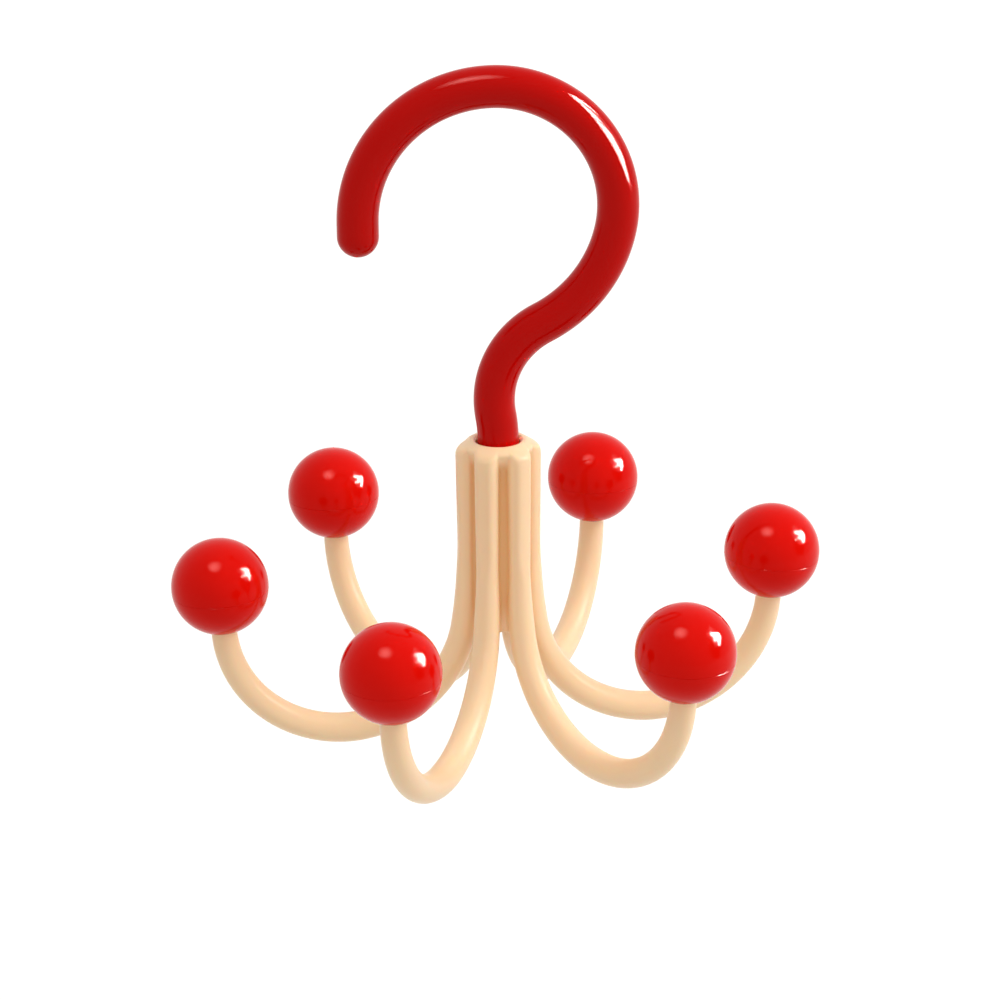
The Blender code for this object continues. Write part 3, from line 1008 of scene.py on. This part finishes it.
@dataclass
class ArmHub:
    """The ribbed hub and its curved arms, one moulding.

    One sector, from the middle of a groove to the middle of the next, is sewn from
    rows of points and then repeated round the axis. Heights are from the top face.
    """

    fit: HubFit
    arm_count: int = 6
    rest_turn: float = math.radians(8.8)
    core_radius: float = 7.3 * MM
    collar_stand: float = 1.9 * MM
    collar_depth: float = 6.5 * MM
    foot_round: float = 0.8 * MM
    foot_clearance: float = 0.25 * MM
    mouth_flare: float = 0.7 * MM
    top_face_width: float = 0.9 * MM
    shoulder_drop: float = 2.2 * MM
    shoulder_round: float = 1.8 * MM
    edge_ease: float = 0.3 * MM
    groove_fillet: float = 0.95 * MM
    # Painted shade in the grooves: how far out from the core it reaches, and how it fades out
    # towards the foot.
    groove_shade: float = 1.8 * MM
    foot_fade: float = 9.0 * MM
    shoulder_ease: float = 1.6 * MM
    counterbore_wall: float = 1.3 * MM
    ring_radius: float = 8.3 * MM
    rib_length: float = 34.6 * MM
    rib_top_radius: float = 3.15 * MM
    rib_foot_radius: float = 2.9 * MM
    shoulder_trim: float = 0.35 * MM
    waist_trim: float = 0.65 * MM
    face_length: float = 28.0 * MM
    runout_radius: float = 60.0 * MM
    flare_rod_radius: float = 3.45 * MM
    bowl_rod_radius: float = 3.93 * MM
    end_rod_radius: float = 3.35 * MM
    flare_radius: float = 125.0 * MM
    flare_turn: float = math.radians(7.2)
    bowl_radius: float = 31.9 * MM
    rise_radius: float = 31.4 * MM
    rise_turn: float = math.radians(89.6)
    lean: float = math.radians(3.1)
    tip_straight: float = 12.6 * MM
    tip_chamfer: float = 0.6 * MM
    rib_edges: int = 28
    fillet_edges: int = 5
    groove_edges: int = 3
    inner_edges: int = 16
    ease_edges: int = 4
    foot_edges: int = 8
    shoulder_reach: float = 1.6
    shoulder_step: float = 0.1 * MM
    rib_step: float = 1.5 * MM
    foot_step: float = 0.7 * MM
    arm_step: float = 0.9 * MM
    tip_step: float = 3.0 * MM
    node: str = "arm_hub"

    @property
    def bowl_turn(self) -> float:
        """Turn of the bowl that leaves the arm's end leaning outwards as wanted."""
        return math.pi - self.flare_turn - self.rise_turn - self.lean

    @property
    def hub_radius(self) -> float:
        """Reach of the turned rib faces at the shoulder."""
        return self.ring_radius + self.rib_top_radius - self.shoulder_trim

    @property
    def waist_radius(self) -> float:
        """Reach of the turned rib faces at their foot."""
        return self.ring_radius + self.rib_top_radius - self.waist_trim

    @property
    def mouth_radius(self) -> float:
        """Radius of the flared mouth of the bore at the top face."""
        return self.fit.bore_radius + self.mouth_flare

    @property
    def counterbore_radius(self) -> float:
        """Radius of the recess under the floor."""
        return self.core_radius - self.counterbore_wall

    def core_at(self, height: float) -> float:
        """Radius of the core, with its collar and its rounded foot.

        Args:
            height: Height of the cut.

        Returns:
            The radius.
        """
        collar = smooth_share(height, -self.collar_depth, -self.collar_stand / 2)
        radius = self.core_radius + self.collar_stand * collar
        under = -self.fit.height + self.foot_round - height
        if under > 0:
            radius -= self.foot_round - math.sqrt(max(self.foot_round**2 - under**2, 0.0))
        return radius

    def cap_at(self, height: float) -> float:
        """Reach of the sloping shoulder and of the turned rib faces.

        Args:
            height: Height of the cut.

        Returns:
            The reach from the axis.
        """
        top = self.mouth_radius + self.top_face_width
        slope = (self.hub_radius - top) / self.shoulder_drop
        cone = top - height * slope
        under = -self.face_length - height
        if under > 0:
            runout = self.runout_radius
            return self.waist_radius + runout - math.sqrt(runout**2 - under**2)
        share = (-self.shoulder_drop - height) / (self.face_length - self.shoulder_drop)
        face = self.hub_radius + (self.waist_radius - self.hub_radius) * share
        return soft_minimum(cone, face, self.shoulder_round)

    def rib_radius_at(self, height: float) -> float:
        """Radius of the rib or of the arm's rod where it crosses a height.

        Args:
            height: Height of the cut.

        Returns:
            The radius.
        """
        if height > -self.rib_length:
            share = -height / self.rib_length
            return self.rib_top_radius + (self.rib_foot_radius - self.rib_top_radius) * share
        turned = math.asin((-self.rib_length - height) / self.flare_radius)
        share = min(turned / self.flare_turn, 1.0)
        return self.rib_foot_radius + (self.flare_rod_radius - self.rib_foot_radius) * share

    def rib_point(self, height: float, angle: float) -> Point2:
        """Where the rib's surface crosses a height.

        Args:
            height: Height of the cut.
            angle: Angle round the rib, 0 at its crest.

        Returns:
            The place, with the rib on the X axis.
        """
        radius = self.rib_radius_at(height)
        under = -self.rib_length - height
        if under <= 0:
            return self.ring_radius + radius * math.cos(angle), radius * math.sin(angle)
        swing = self.flare_radius - radius * math.cos(angle)
        turned = math.asin(under / swing)
        x = self.ring_radius + self.flare_radius - swing * math.cos(turned)
        return x, radius * math.sin(angle)

    def outline(self, height: float) -> tuple[list[Point2], int]:
        """The hub's outline over one sector.

        Args:
            height: Height of the cut.

        Returns:
            The points from groove to groove, and the index where the rib starts.
        """
        core, rib, fillet = self.core_at(height), self.rib_radius_at(height), self.groove_fillet
        centre = (self.rib_point(height, 0.0)[0] + self.rib_point(height, math.pi)[0]) / 2
        # The fillet touches both the core and the rib, so its middle is that far off each.
        to_axis = core + fillet
        to_rib = rib + fillet
        at_axis = math.acos((to_axis**2 + centre**2 - to_rib**2) / (2 * to_axis * centre))
        at_rib = math.pi - math.acos((to_rib**2 + centre**2 - to_axis**2) / (2 * to_rib * centre))
        middle = (to_axis * math.cos(at_axis), to_axis * math.sin(at_axis))
        half_pitch = math.pi / self.arm_count
        groove = arc_points(core, half_pitch, at_axis, self.groove_edges)
        turns = arc_points(fillet, at_axis - math.pi, at_rib - math.pi, self.fillet_edges)
        bend = [(middle[0] + x, middle[1] + y) for x, y in turns]
        # Where the arm flares, the rib's cut isn't quite round, and the fillet goes to meet it.
        exact = self.rib_point(height, at_rib)
        shift = exact[0] - bend[-1][0]
        bend = [(x + shift * i / self.fillet_edges, y) for i, (x, y) in enumerate(bend)]
        steps = self.rib_edges
        angles = [at_rib - 2 * at_rib * step / steps for step in range(1, steps)]
        face = [self.rib_point(height, angle) for angle in angles]
        left = groove + bend[1:]
        right = [(x, -y) for x, y in reversed(left)]
        return left + face + right, len(left) - 1

    def trimmed(self, points: Sequence[Point2], height: float) -> list[Point3]:
        """Draws an outline in to the sloping shoulder.

        Args:
            points: The outline.
            height: Height of the cut.

        Returns:
            The points of the row at that height.
        """
        cap = self.cap_at(height)
        softness = smooth_share(height, -2 * self.shoulder_drop, -self.shoulder_drop / 2)
        ease = self.edge_ease + (self.shoulder_ease - self.edge_ease) * softness
        result = []
        for x, y in points:
            reach = math.hypot(x, y)
            share = soft_minimum(reach, cap, ease) / reach
            result.append((x * share, y * share, height))
        return result

    def heights(self) -> list[float]:
        """Heights of the rows on the hub's outside, closest where its form changes most.

        Returns:
            The heights, from the top face down.
        """
        foot_top = -self.fit.height + self.foot_round
        shoulder_rows = math.ceil(self.shoulder_reach * self.shoulder_drop / self.shoulder_step)
        heights = [-self.shoulder_step * row for row in range(shoulder_rows)]
        for end, step in (
            (-self.collar_depth, 2 * self.shoulder_step),
            (-self.rib_length, self.rib_step),
            (foot_top + self.foot_step, self.foot_step),
        ):
            while heights[-1] > end:
                heights.append(heights[-1] - step)
        angles = (math.pi / 2 * edge / self.foot_edges for edge in range(self.foot_edges + 1))
        return heights + [foot_top - self.foot_round * math.sin(angle) for angle in angles]

    def inside_profile(self) -> list[Point2]:
        """The outline of the top face, the bore, the floor and the counterbore.

        Returns:
            The outline from the top face down, as (radius, height).
        """
        floor_hole = self.fit.nose_radius + self.fit.running_clearance
        corners = [
            (self.mouth_radius + self.top_face_width, 0.0),
            (self.mouth_radius, 0.0),
            (self.fit.bore_radius, -self.mouth_flare),
            (self.fit.bore_radius, self.fit.floor_top),
            (floor_hole, self.fit.floor_top),
            (floor_hole, self.fit.floor_bottom),
            (self.counterbore_radius, self.fit.floor_bottom),
            (self.counterbore_radius, -self.fit.height),
        ]
        ease = self.edge_ease
        radii = [0, ease, ease, ease, ease / 2, ease / 2, ease, 0]
        return eased_profile(corners, radii, self.ease_edges)[1:]

    def arm_route(self) -> Route:
        """The arm's route from the foot of its straight rib to its end in the ball.

        Returns:
            The route.
        """
        route = Route(self.ring_radius, -self.rib_length, math.pi, self.rib_foot_radius)
        route.spacing = self.arm_step
        route.bend(self.flare_radius, -self.flare_turn, self.flare_rod_radius)
        route.bend(self.bowl_radius, -self.bowl_turn, self.bowl_rod_radius)
        route.bend(self.rise_radius, -self.rise_turn, self.end_rod_radius)
        route.spacing = self.tip_step
        route.run(self.tip_straight - self.tip_chamfer)
        return route.run(self.tip_chamfer, self.end_rod_radius - self.tip_chamfer)

    def under_foot(self) -> list[Station]:
        """The arm's stations whose whole ring is clear of the hub's foot.

        Returns:
            The stations, from the foot to the arm's end.
        """
        clear = -self.fit.height - self.foot_clearance

        def above(station: Station) -> bool:
            """Whether the station's ring reaches above the clear height."""
            return station.z + station.radius * math.sin(station.heading) > clear

        return list(dropwhile(above, self.arm_route().stations))

    def sector(self) -> Object:
        """Sews one sector of the hub with its arm.

        Returns:
            The sector, open at its two grooves.
        """
        skin = Skin(self.node)
        rows = []
        for height in self.heights():
            points, rib_start = self.outline(height)
            rows.append(skin.row(self.trimmed(points, height)))
        for first, second in zip(rows, rows[1:]):
            skin.sew(first, second)

        # Inwards over the top face and down the bore, in step with the outside's points.
        last = rows[0]
        angles = [math.atan2(vert.co.y, vert.co.x) for vert in last]
        for radius, height in self.inside_profile():
            row = skin.row([(radius * math.cos(a), radius * math.sin(a), height) for a in angles])
            skin.sew(row, last)
            last = row

        # The foot is closed round the arm, whose skin goes on from the rib's.
        foot = rows[-1]
        rib_end = len(foot) - 1 - rib_start
        at_rib = self.angle_round_rib(foot[rib_start].co)
        bottom = -self.fit.height
        inner = skin.row(
            [(*self.rib_point(bottom, angle), bottom) for angle in self.inner_angles(at_rib)]
        )
        skin.fill([*foot[: rib_start + 1], *inner, *foot[rib_end:], *reversed(last)])
        self.sew_arm(skin, [*reversed(foot[rib_start : rib_end + 1]), *inner], at_rib)
        return skin.object(closed=False)

    def angle_round_rib(self, point: Vector) -> float:
        """The angle round the rib of a point on the hub's foot."""
        sine = point.y / self.rib_radius_at(-self.fit.height)
        return math.pi - math.asin(min(sine, 1.0))

    def inner_angles(self, at_rib: float) -> list[float]:
        """Angles round the rib on its side to the axis, from where the hub's skin ends."""
        steps = self.inner_edges
        return [at_rib + (2 * math.pi - 2 * at_rib) * step / steps for step in range(1, steps)]

    def sew_arm(self, skin: Skin, ring: list[Vert], at_rib: float) -> None:
        """Sews the arm on a ring of points at the hub's foot.

        Args:
            skin: The skin to add to.
            ring: The ring, once round the rib.
            at_rib: The angle round the rib where the ring leaves the hub's outline.
        """
        steps = self.rib_edges
        angles = [-at_rib + 2 * at_rib * step / steps for step in range(steps + 1)]
        angles += self.inner_angles(at_rib)
        last = ring
        for station in self.under_foot():
            across = Vector((-math.cos(station.heading), 0.0, math.sin(station.heading)))
            points = []
            for angle in angles:
                side = across * (station.radius * math.cos(angle))
                points.append(
                    (station.x + side.x, station.radius * math.sin(angle), station.z + side.z)
                )
            row = skin.row(points)
            skin.sew(last, row, closed=True)
            last = row
        skin.fill(last)

    def build(self, shop: Workshop) -> None:
        """Makes the hub with its arms and ties it to the frame.

        Args:
            shop: The finishes and recipes.
        """
        hub = shop.ring.run(
            self.sector(),
            Count=self.arm_count,
            Rest_turn=self.rest_turn,
            Weld_distance=MERGE_DISTANCE,
            Material=shop.cream,
        )
        # Painted shade darkens the grooves between the ribs.
        marked_with_shade_and_fade(outward(hub), self.groove_shade_share)
        moved(hub, Matrix.Translation((0.0, 0.0, self.fit.top_z)))
        shop.hand_over(hub, self.node, Slot.CREAM, Body.CAROUSEL)

    def groove_shade_share(self, point: Vector) -> float:
        """How much painted shade a point takes between the ribs.

        Args:
            point: A point of the skin.

        Returns:
            The share of painted shade, from 0 on a crest to 1 on the core.
        """
        reach = math.hypot(point.x, point.y)
        under_top = 1.0 - smooth_share(point.z, -3 * self.shoulder_drop, -self.shoulder_drop / 2)
        over_foot = smooth_share(point.z, -self.fit.height, -self.fit.height + self.foot_fade)
        crest = smooth_share(reach, self.core_radius, self.core_radius + self.groove_shade)
        return under_top * over_foot * (1.0 - crest)

    def ball_places(self) -> list[Matrix]:
        """Where each arm's ball sits, square to the lean of the arm's end.

        Returns:
            The places, from ball 1 on.
        """
        end = self.arm_route()
        centre = Matrix.Translation((end.x, 0.0, self.fit.top_z + end.z))
        local = centre @ Matrix.Rotation(self.lean, 4, "Y")
        pitch = 2 * math.pi / self.arm_count
        turns = (self.rest_turn + pitch * index for index in range(self.arm_count))
        return [Matrix.Rotation(turn, 4, "Z") @ local for turn in turns]


@dataclass
class BallEnd:
    """One hollow ball of two shells, pressed on the end of an arm.

    Heights are from the ball's centre. The seam is a hairline just under it.
    """

    number: int
    place: Matrix
    radius: float = 12.6 * MM
    wall: float = 2.0 * MM
    seam_drop: float = 1.0 * MM
    seam_gap: float = 0.02 * MM
    seam_ease: float = 0.045 * MM
    lip_length: float = 2.0 * MM
    lip_wall: float = 1.2 * MM
    seat_gap: float = 0.3 * MM
    socket_radius: float = 3.42 * MM
    socket_wall: float = 1.4 * MM
    socket_floor: float = 1.2 * MM
    socket_ease: float = 0.15 * MM
    sides: int = 72
    upper_edges: int = 28
    lower_edges: int = 24
    inner_edges: int = 10

    def upper_profile(self) -> list[Point2]:
        """Outer skin, rim, lip that drops into the lower half, and the inner dome.

        Returns:
            The outline, as (radius, height).
        """
        rim = -self.seam_drop + self.seam_gap / 2
        inner = self.radius - self.wall
        lip_bottom = rim - self.lip_length
        lip_outer = math.sqrt((inner - self.seat_gap) ** 2 - lip_bottom**2)
        lip_inner = lip_outer - self.lip_wall
        start = math.asin((rim + self.seam_ease) / self.radius)
        skin = arc_points(self.radius, math.pi / 2, start, self.upper_edges)
        ease = self.radius - self.seam_ease
        rim_points = [(math.sqrt(ease**2 - rim**2), rim), (lip_outer, rim)]
        lip = [(lip_outer, lip_bottom), (lip_inner, lip_bottom)]
        squeeze = inner / lip_inner
        quarter = arc_points(lip_inner, 0.0, math.pi / 2, self.inner_edges)
        dome = [(x, z * squeeze) for x, z in quarter[:-1]]
        return [(0.0, self.radius), *skin[1:], *rim_points, *lip, *dome, (0.0, inner)]

    def lower_profile(self) -> list[Point2]:
        """Blind socket for the arm's end, inner wall, rim and outer skin.

        Returns:
            The outline, as (radius, height).
        """
        rim = -self.seam_drop - self.seam_gap / 2
        inner = self.radius - self.wall
        boss = self.socket_radius + self.socket_wall
        boss_top = self.seat_gap + self.socket_floor
        wall_start, wall_end = -math.acos(boss / inner), math.asin(rim / inner)
        wall = arc_points(inner, wall_start, wall_end, self.inner_edges)
        ease = self.radius - self.seam_ease
        start = math.asin((rim - self.seam_ease) / self.radius)
        mouth = self.socket_radius + self.socket_ease
        hole = -math.acos(mouth / self.radius)
        skin = arc_points(self.radius, start, hole, self.lower_edges)
        depth = skin[-1][1] + self.socket_ease
        socket = [(self.socket_radius, depth), (self.socket_radius, self.seat_gap)]
        return [
            (0.0, boss_top),
            (boss, boss_top),
            *wall,
            (math.sqrt(ease**2 - rim**2), rim),
            *skin,
            *socket,
            (0.0, self.seat_gap),
        ]

    def build(self, shop: Workshop) -> list[Object]:
        """Makes both shells and ties them to the frame.

        Args:
            shop: The finishes and recipes.

        Returns:
            The shells.
        """
        shells = []
        profiles = {Half.UPPER: self.upper_profile(), Half.LOWER: self.lower_profile()}
        for half, profile in profiles.items():
            node = f"ball_{self.number}_{half.value}_shell"
            skin = Skin(node)
            skin.revolve(profile, self.sides)
            shell = moved(skin.object(), self.place)
            shop.hand_over(shell, node, Slot.RED, Body.CAROUSEL)
            shells.append(shell)
        return shells


@dataclass
class Fixing:
    """The washer and the cross recess screw under the hub's floor."""

    fit: HubFit
    washer_radius: float = 5.65 * MM
    washer_ease: float = 0.15 * MM
    shank_radius: float = 1.2 * MM
    thread_ridge: float = 0.24 * MM
    thread_pitch: float = 1.0 * MM
    head_radius: float = 2.9 * MM
    head_round: float = 1.0 * MM
    screw_length: float = 14.0 * MM
    point_length: float = 1.8 * MM
    tip_radius: float = 0.4 * MM
    cross_width: float = 0.7 * MM
    cross_span: float = 3.2 * MM
    cross_depth: float = 1.0 * MM
    washer_edges: int = 3
    washer_sides: int = 72
    head_edges: int = 8
    head_sides: int = 64

    @property
    def washer_top(self) -> float:
        """Height of the washer's upper face."""
        return self.fit.top_z + self.fit.floor_bottom - self.fit.seat_gap

    @property
    def head_top(self) -> float:
        """Height where the screw's head meets its shank."""
        return self.washer_top - self.fit.washer_thickness - self.fit.seat_gap

    def washer(self) -> Object:
        """A flat washer with eased edges.

        Returns:
            The washer in its place.
        """
        rim, hole, top = self.washer_radius, self.fit.pilot_radius, self.washer_top
        bottom = top - self.fit.washer_thickness
        corners = [(rim, top), (rim, bottom), (hole, bottom), (hole, top), (rim, top)]
        radii = [0, self.washer_ease, 0, self.washer_ease, 0]
        skin = Skin("retaining_washer")
        skin.revolve(eased_profile(corners, radii, self.washer_edges)[:-1], self.washer_sides)
        return skin.object()

    def screw(self, shop: Workshop) -> Object:
        """A pan head screw with a cross recess and its thread.

        Args:
            shop: The finishes and recipes.

        Returns:
            The screw in its place.
        """
        corners = [
            (0.0, self.screw_length),
            (self.tip_radius, self.screw_length),
            (self.shank_radius, self.screw_length - self.point_length),
            (self.shank_radius, 0.0),
            (self.head_radius, 0.0),
            (self.head_radius, -self.fit.head_height),
            (0.0, -self.fit.head_height),
        ]
        radii = [0, 0, 0, 0, 0, self.head_round, 0]
        skin = Skin("retaining_screw")
        skin.revolve(eased_profile(corners, radii, self.head_edges), self.head_sides)
        screw = cut(
            skin.object(),
            self.cross_bar(self.cross_span, self.cross_width),
            self.cross_bar(self.cross_width, self.cross_span),
        )
        threaded = self.screw_length - self.point_length - self.thread_pitch
        shop.thread.run(
            screw,
            Turns=threaded / self.thread_pitch,
            Core_radius=self.shank_radius,
            Length=threaded,
            Ridge_height=self.thread_ridge,
            Material=shop.zinc,
        )
        return moved(screw, Matrix.Translation((0.0, 0.0, self.head_top)))

    def cross_bar(self, width: float, span: float) -> Object:
        """One bar of the driver recess, centred on the head's face.

        Args:
            width: Size along X.
            span: Size along Y.

        Returns:
            The closed shape to take away.
        """
        work = bmesh.new()
        made = bmesh.ops.create_cube(work, size=1.0)
        size = (width, span, 2 * self.cross_depth)
        bmesh.ops.scale(work, vec=size, verts=made["verts"])
        bmesh.ops.translate(work, vec=(0, 0, -self.fit.head_height), verts=made["verts"])
        mesh = bpy.data.meshes.new("cross_bar")
        work.to_mesh(mesh)
        work.free()
        return place_mesh("cross_bar", mesh)

    def build(self, shop: Workshop) -> None:
        """Makes the washer and the screw and ties them to the frame."""
        shop.hand_over(self.washer(), "retaining_washer", Slot.ZINC, Body.HOOK)
        shop.hand_over(self.screw(shop), "retaining_screw", Slot.ZINC, Body.HOOK)


@dataclass
class SoftLamp:
    """A wide diffuser that lights the colour, and shows in the gloss where that is wanted."""

    name: str
    direction: Point3
    width: float
    height: float
    level: float
    in_gloss: bool = False
    distance: float = 1.8

    def build(self, aim: Vector) -> None:
        """Hangs the lamp so that it faces a point.

        Args:
            aim: The point that the lamp faces.
        """
        lamp = bpy.data.lights.new(self.name, "AREA")
        lamp.shape = "RECTANGLE"
        lamp.size = self.width
        lamp.size_y = self.height
        lamp.energy = self.level * math.pi * self.width * self.height
        obj = bpy.data.objects.new(self.name, lamp)
        obj.visible_glossy = self.in_gloss
        towards = Vector(self.direction).normalized()
        obj.location = aim + towards * self.distance
        obj.rotation_euler = towards.to_track_quat("Z", "Y").to_euler()
        bpy.context.scene.collection.objects.link(obj)


@dataclass
class GlintCard:
    """A bright card that shows only in the gloss of the pieces that it is linked to.

    It is a band between two rows of directions. Its level is in whites of the
    background. A feathered card is a disc, whose second row is all its middle.
    """

    name: str
    rows: Rows
    distance: float = 4.0
    level: float = 220.0
    feathered: bool = False

    def build(self, aim: Vector, pieces: Sequence[Object]) -> None:
        """Hangs the card.

        Args:
            aim: The point that the rows' directions start from.
            pieces: The pieces that it shows in.
        """
        places = [
            [aim + Vector(direction).normalized() * self.distance for direction in row]
            for row in self.rows
        ]
        skin = Skin(self.name)
        skin.sew(skin.row(places[0]), skin.row(places[1]), closed=self.feathered)
        card = skin.object(closed=False)
        if self.feathered:
            middle = places[1][0]
            marked_with_shade_and_fade(card, lambda point: float((point - middle).length < MM))
        card.data.materials.append(self.material())
        card.visible_camera = False
        card.visible_diffuse = False
        card.visible_shadow = False
        receivers = bpy.data.collections.new(self.name)
        for piece in pieces:
            receivers.objects.link(piece)
        card.light_linking.receiver_collection = receivers

    def material(self) -> Material:
        """Plain light, as strong all over or faded from the middle to the rim.

        Returns:
            The finished material.
        """
        paint = Paint(self.name)
        paint.coat(Base_Color=BLACK, Specular_IOR_Level=0.0)
        paint.coat(Emission_Color=WHITE, Emission_Strength=self.level)
        if self.feathered:
            fade = paint.ranged(paint.attribute(PAINTED_SHADE_AND_FADE), (0.0, 1.0), 0.0, self.level)
            fade.node.interpolation_type = "SMOOTHSTEP"
            paint.coat(Emission_Strength=fade)
        # The card is found by the gloss alone, so it adds no light of its own.
        paint.material.cycles.emission_sampling = "NONE"
        return paint.material


# The two edges of the card that shows at the right of every ball.
KEY_CARD: Rows = (
    (
        (0.723, -0.071, 0.687),
        (0.748, -0.182, 0.638),
        (0.765, -0.289, 0.576),
        (0.780, -0.378, 0.499),
        (0.787, -0.458, 0.413),
    ),
    (
        (0.859, 0.281, 0.427),
        (0.904, 0.223, 0.365),
        (0.939, 0.145, 0.312),
        (0.963, 0.045, 0.266),
        (0.972, -0.078, 0.224),
    ),
)
# The two edges of the card that runs as a streak along the hook's bend.
STREAK_CARD: Rows = (
    (
        (0.63, -0.12, 0.76),
        (0.69, -0.24, 0.68),
        (0.76, -0.43, 0.49),
        (0.78, -0.54, 0.30),
        (0.82, -0.54, 0.17),
        (0.84, -0.52, 0.04),
        (0.91, -0.38, -0.06),
        (0.95, -0.26, -0.12),
    ),
    (
        (0.65, 0.02, 0.75),
        (0.73, 0.14, 0.67),
        (0.85, 0.18, 0.50),
        (0.93, 0.11, 0.36),
        (0.97, -0.03, 0.22),
        (0.98, -0.15, 0.08),
        (0.97, -0.22, -0.05),
        (0.96, -0.24, -0.12),
    ),
)


def seen_directly(tree: NodeTree) -> Socket:
    """Tells what the camera sees, at once or in a gloss or a glass, from other rays.

    Args:
        tree: The tree to add it to.

    Returns:
        The socket with 1 for what is seen and 0 for the rest.
    """
    rays = tree.nodes.new("ShaderNodeLightPath")
    seen = rays.outputs["Is Camera Ray"]
    for name in ("Is Glossy Ray", "Is Transmission Ray"):
        seen = combine(tree, "MAXIMUM", seen, rays.outputs[name])
    return seen


@dataclass
class Studio:
    """A pale floor, soft lamps and the camera at the photograph's angle."""

    floor_z: float = -0.30
    floor_radius: float = 6.0
    floor_sides: int = 96
    floor_paint: float = 0.66
    floor_roughness: float = 0.9
    near_glow: float = 0.43
    far_glow: float = 0.62
    near_reach: float = 0.35
    far_reach: float = 1.6
    air_light: Colour = (0.66, 0.615, 0.55)
    lamp_aim: Point3 = (0.0, 0.0, -0.08)
    streak_aim: Point3 = (0.03, 0.0, -0.01)
    glow_middle: Point3 = (-0.20, -0.39, 0.90)
    glow_radius: float = 0.36
    glow_edges: int = 24
    camera_distance: float = 0.87619
    camera_elevation: float = math.radians(20.77)
    camera_roll: float = math.radians(-0.43)
    lens: float = 121.683
    sensor: float = 36.0
    sight: float = 30.0
    aim: Point3 = (0.00038, 0.0, -0.104209)

    def build(self, hook: Object, shells: Sequence[Object]) -> None:
        """Sets up the whole studio.

        Args:
            hook: The hook, which has a glint card of its own.
            shells: The balls' shells, which share another.
        """
        self.floor()
        self.lamps(hook, shells)
        self.world()
        self.camera()

    def floor(self) -> None:
        """A wide disc whose pale colour is white to the camera and keeps the shadow."""
        skin = Skin("studio_floor")
        points = arc_points(self.floor_radius, 0.0, 2 * math.pi, self.floor_sides)[1:]
        skin.fill(skin.row([(x, y, self.floor_z) for x, y in points]))
        floor = skin.object(closed=False)
        floor.data.materials.append(self.floor_material())

    def floor_material(self) -> Material:
        """Matt pale floor that also glows where it is seen, less under the object.

        Returns:
            The finished material.
        """
        paint = Paint("pale_floor")
        paint.coat(Base_Color=(*[self.floor_paint] * 3, 1.0), Roughness=self.floor_roughness)
        paint.coat(Specular_IOR_Level=0.0, Emission_Color=WHITE)
        reach = paint.node("ShaderNodeVectorMath", Vector=paint.place)
        reach.operation = "LENGTH"
        span = (self.near_reach, self.far_reach)
        glow = paint.ranged(reach.outputs["Value"], span, self.near_glow, self.far_glow)
        seen = seen_directly(paint.tree)
        paint.coat(Emission_Strength=combine(paint.tree, "MULTIPLY", glow, seen))
        return paint.material

    def lamps(self, hook: Object, shells: Sequence[Object]) -> None:
        """The key softbox at the right, the sky panel overhead, and the cards for the gloss.

        Args:
            hook: The hook.
            shells: The balls' shells.
        """
        aim = Vector(self.lamp_aim)
        SoftLamp(
            "key_softbox",
            direction=(0.855, -0.045, 0.512),
            width=0.86,
            height=1.0,
            level=6.1,
            in_gloss=True,
        ).build(aim)
        SoftLamp(
            "sky_panel", direction=(0.0, -0.25, 0.97), width=1.6, height=1.6, level=1.2
        ).build(aim)
        GlintCard("key_card", KEY_CARD).build(aim, shells)
        GlintCard("streak_card", STREAK_CARD).build(Vector(self.streak_aim), [hook])
        x, y, z = self.glow_middle
        circle = arc_points(self.glow_radius, 0.0, 2 * math.pi, self.glow_edges)[:-1]
        rim = [(x + across, y + along, z) for across, along in circle]
        rows = (rim, [self.glow_middle] * len(rim))
        glow = GlintCard("glow_card", rows, distance=1.6, level=26.0, feathered=True)
        glow.build(aim, [hook, *shells])

    def world(self) -> None:
        """A plain world: white where it is seen, an even light on the object."""
        world = bpy.data.worlds.new("studio_air")
        bpy.context.scene.world = world
        world.use_nodes = True
        tree = world.node_tree
        air = blend(tree, seen_directly(tree), (*self.air_light, 1.0), WHITE)
        feed(tree, tree.nodes["Background"], Color=air)

    def camera(self) -> None:
        """The camera at the photograph's angle."""
        data = bpy.data.cameras.new("camera")
        data.sensor_fit = "HORIZONTAL"
        data.sensor_width = self.sensor
        data.lens = self.lens
        data.clip_end = self.sight
        camera = bpy.data.objects.new("camera", data)
        back = Vector((0.0, -math.cos(self.camera_elevation), math.sin(self.camera_elevation)))
        up = Vector((0.0, math.sin(self.camera_elevation), math.cos(self.camera_elevation)))
        right = Vector((1.0, 0.0, 0.0))
        turn = self.camera_roll
        rolled_right = right * math.cos(turn) + up * math.sin(turn)
        rolled_up = up * math.cos(turn) - right * math.sin(turn)
        axes = Matrix((rolled_right, rolled_up, back)).transposed().to_4x4()
        place = Vector(self.aim) + back * self.camera_distance
        camera.matrix_world = Matrix.Translation(place) @ axes
        bpy.context.scene.collection.objects.link(camera)
        bpy.context.scene.camera = camera


def main() -> None:
    """Builds the pieces in order and sets up the studio."""
    logging.basicConfig(level=logging.INFO, format="%(name)s %(message)s")
    bpy.context.scene.view_settings.view_transform = "Standard"
    shop = Workshop()
    swivel = frame["joints"][0]["pos_m"]
    fit = HubFit(top_z=swivel[2])
    hook = HookRod(fit).build(shop)
    hub = ArmHub(fit)
    hub.build(shop)
    shells = []
    for number, place in enumerate(hub.ball_places(), start=1):
        shells += BallEnd(number, place).build(shop)
    Fixing(fit).build(shop)
    Studio().build(hook, shells)


if __name__ == "__main__":
    main()
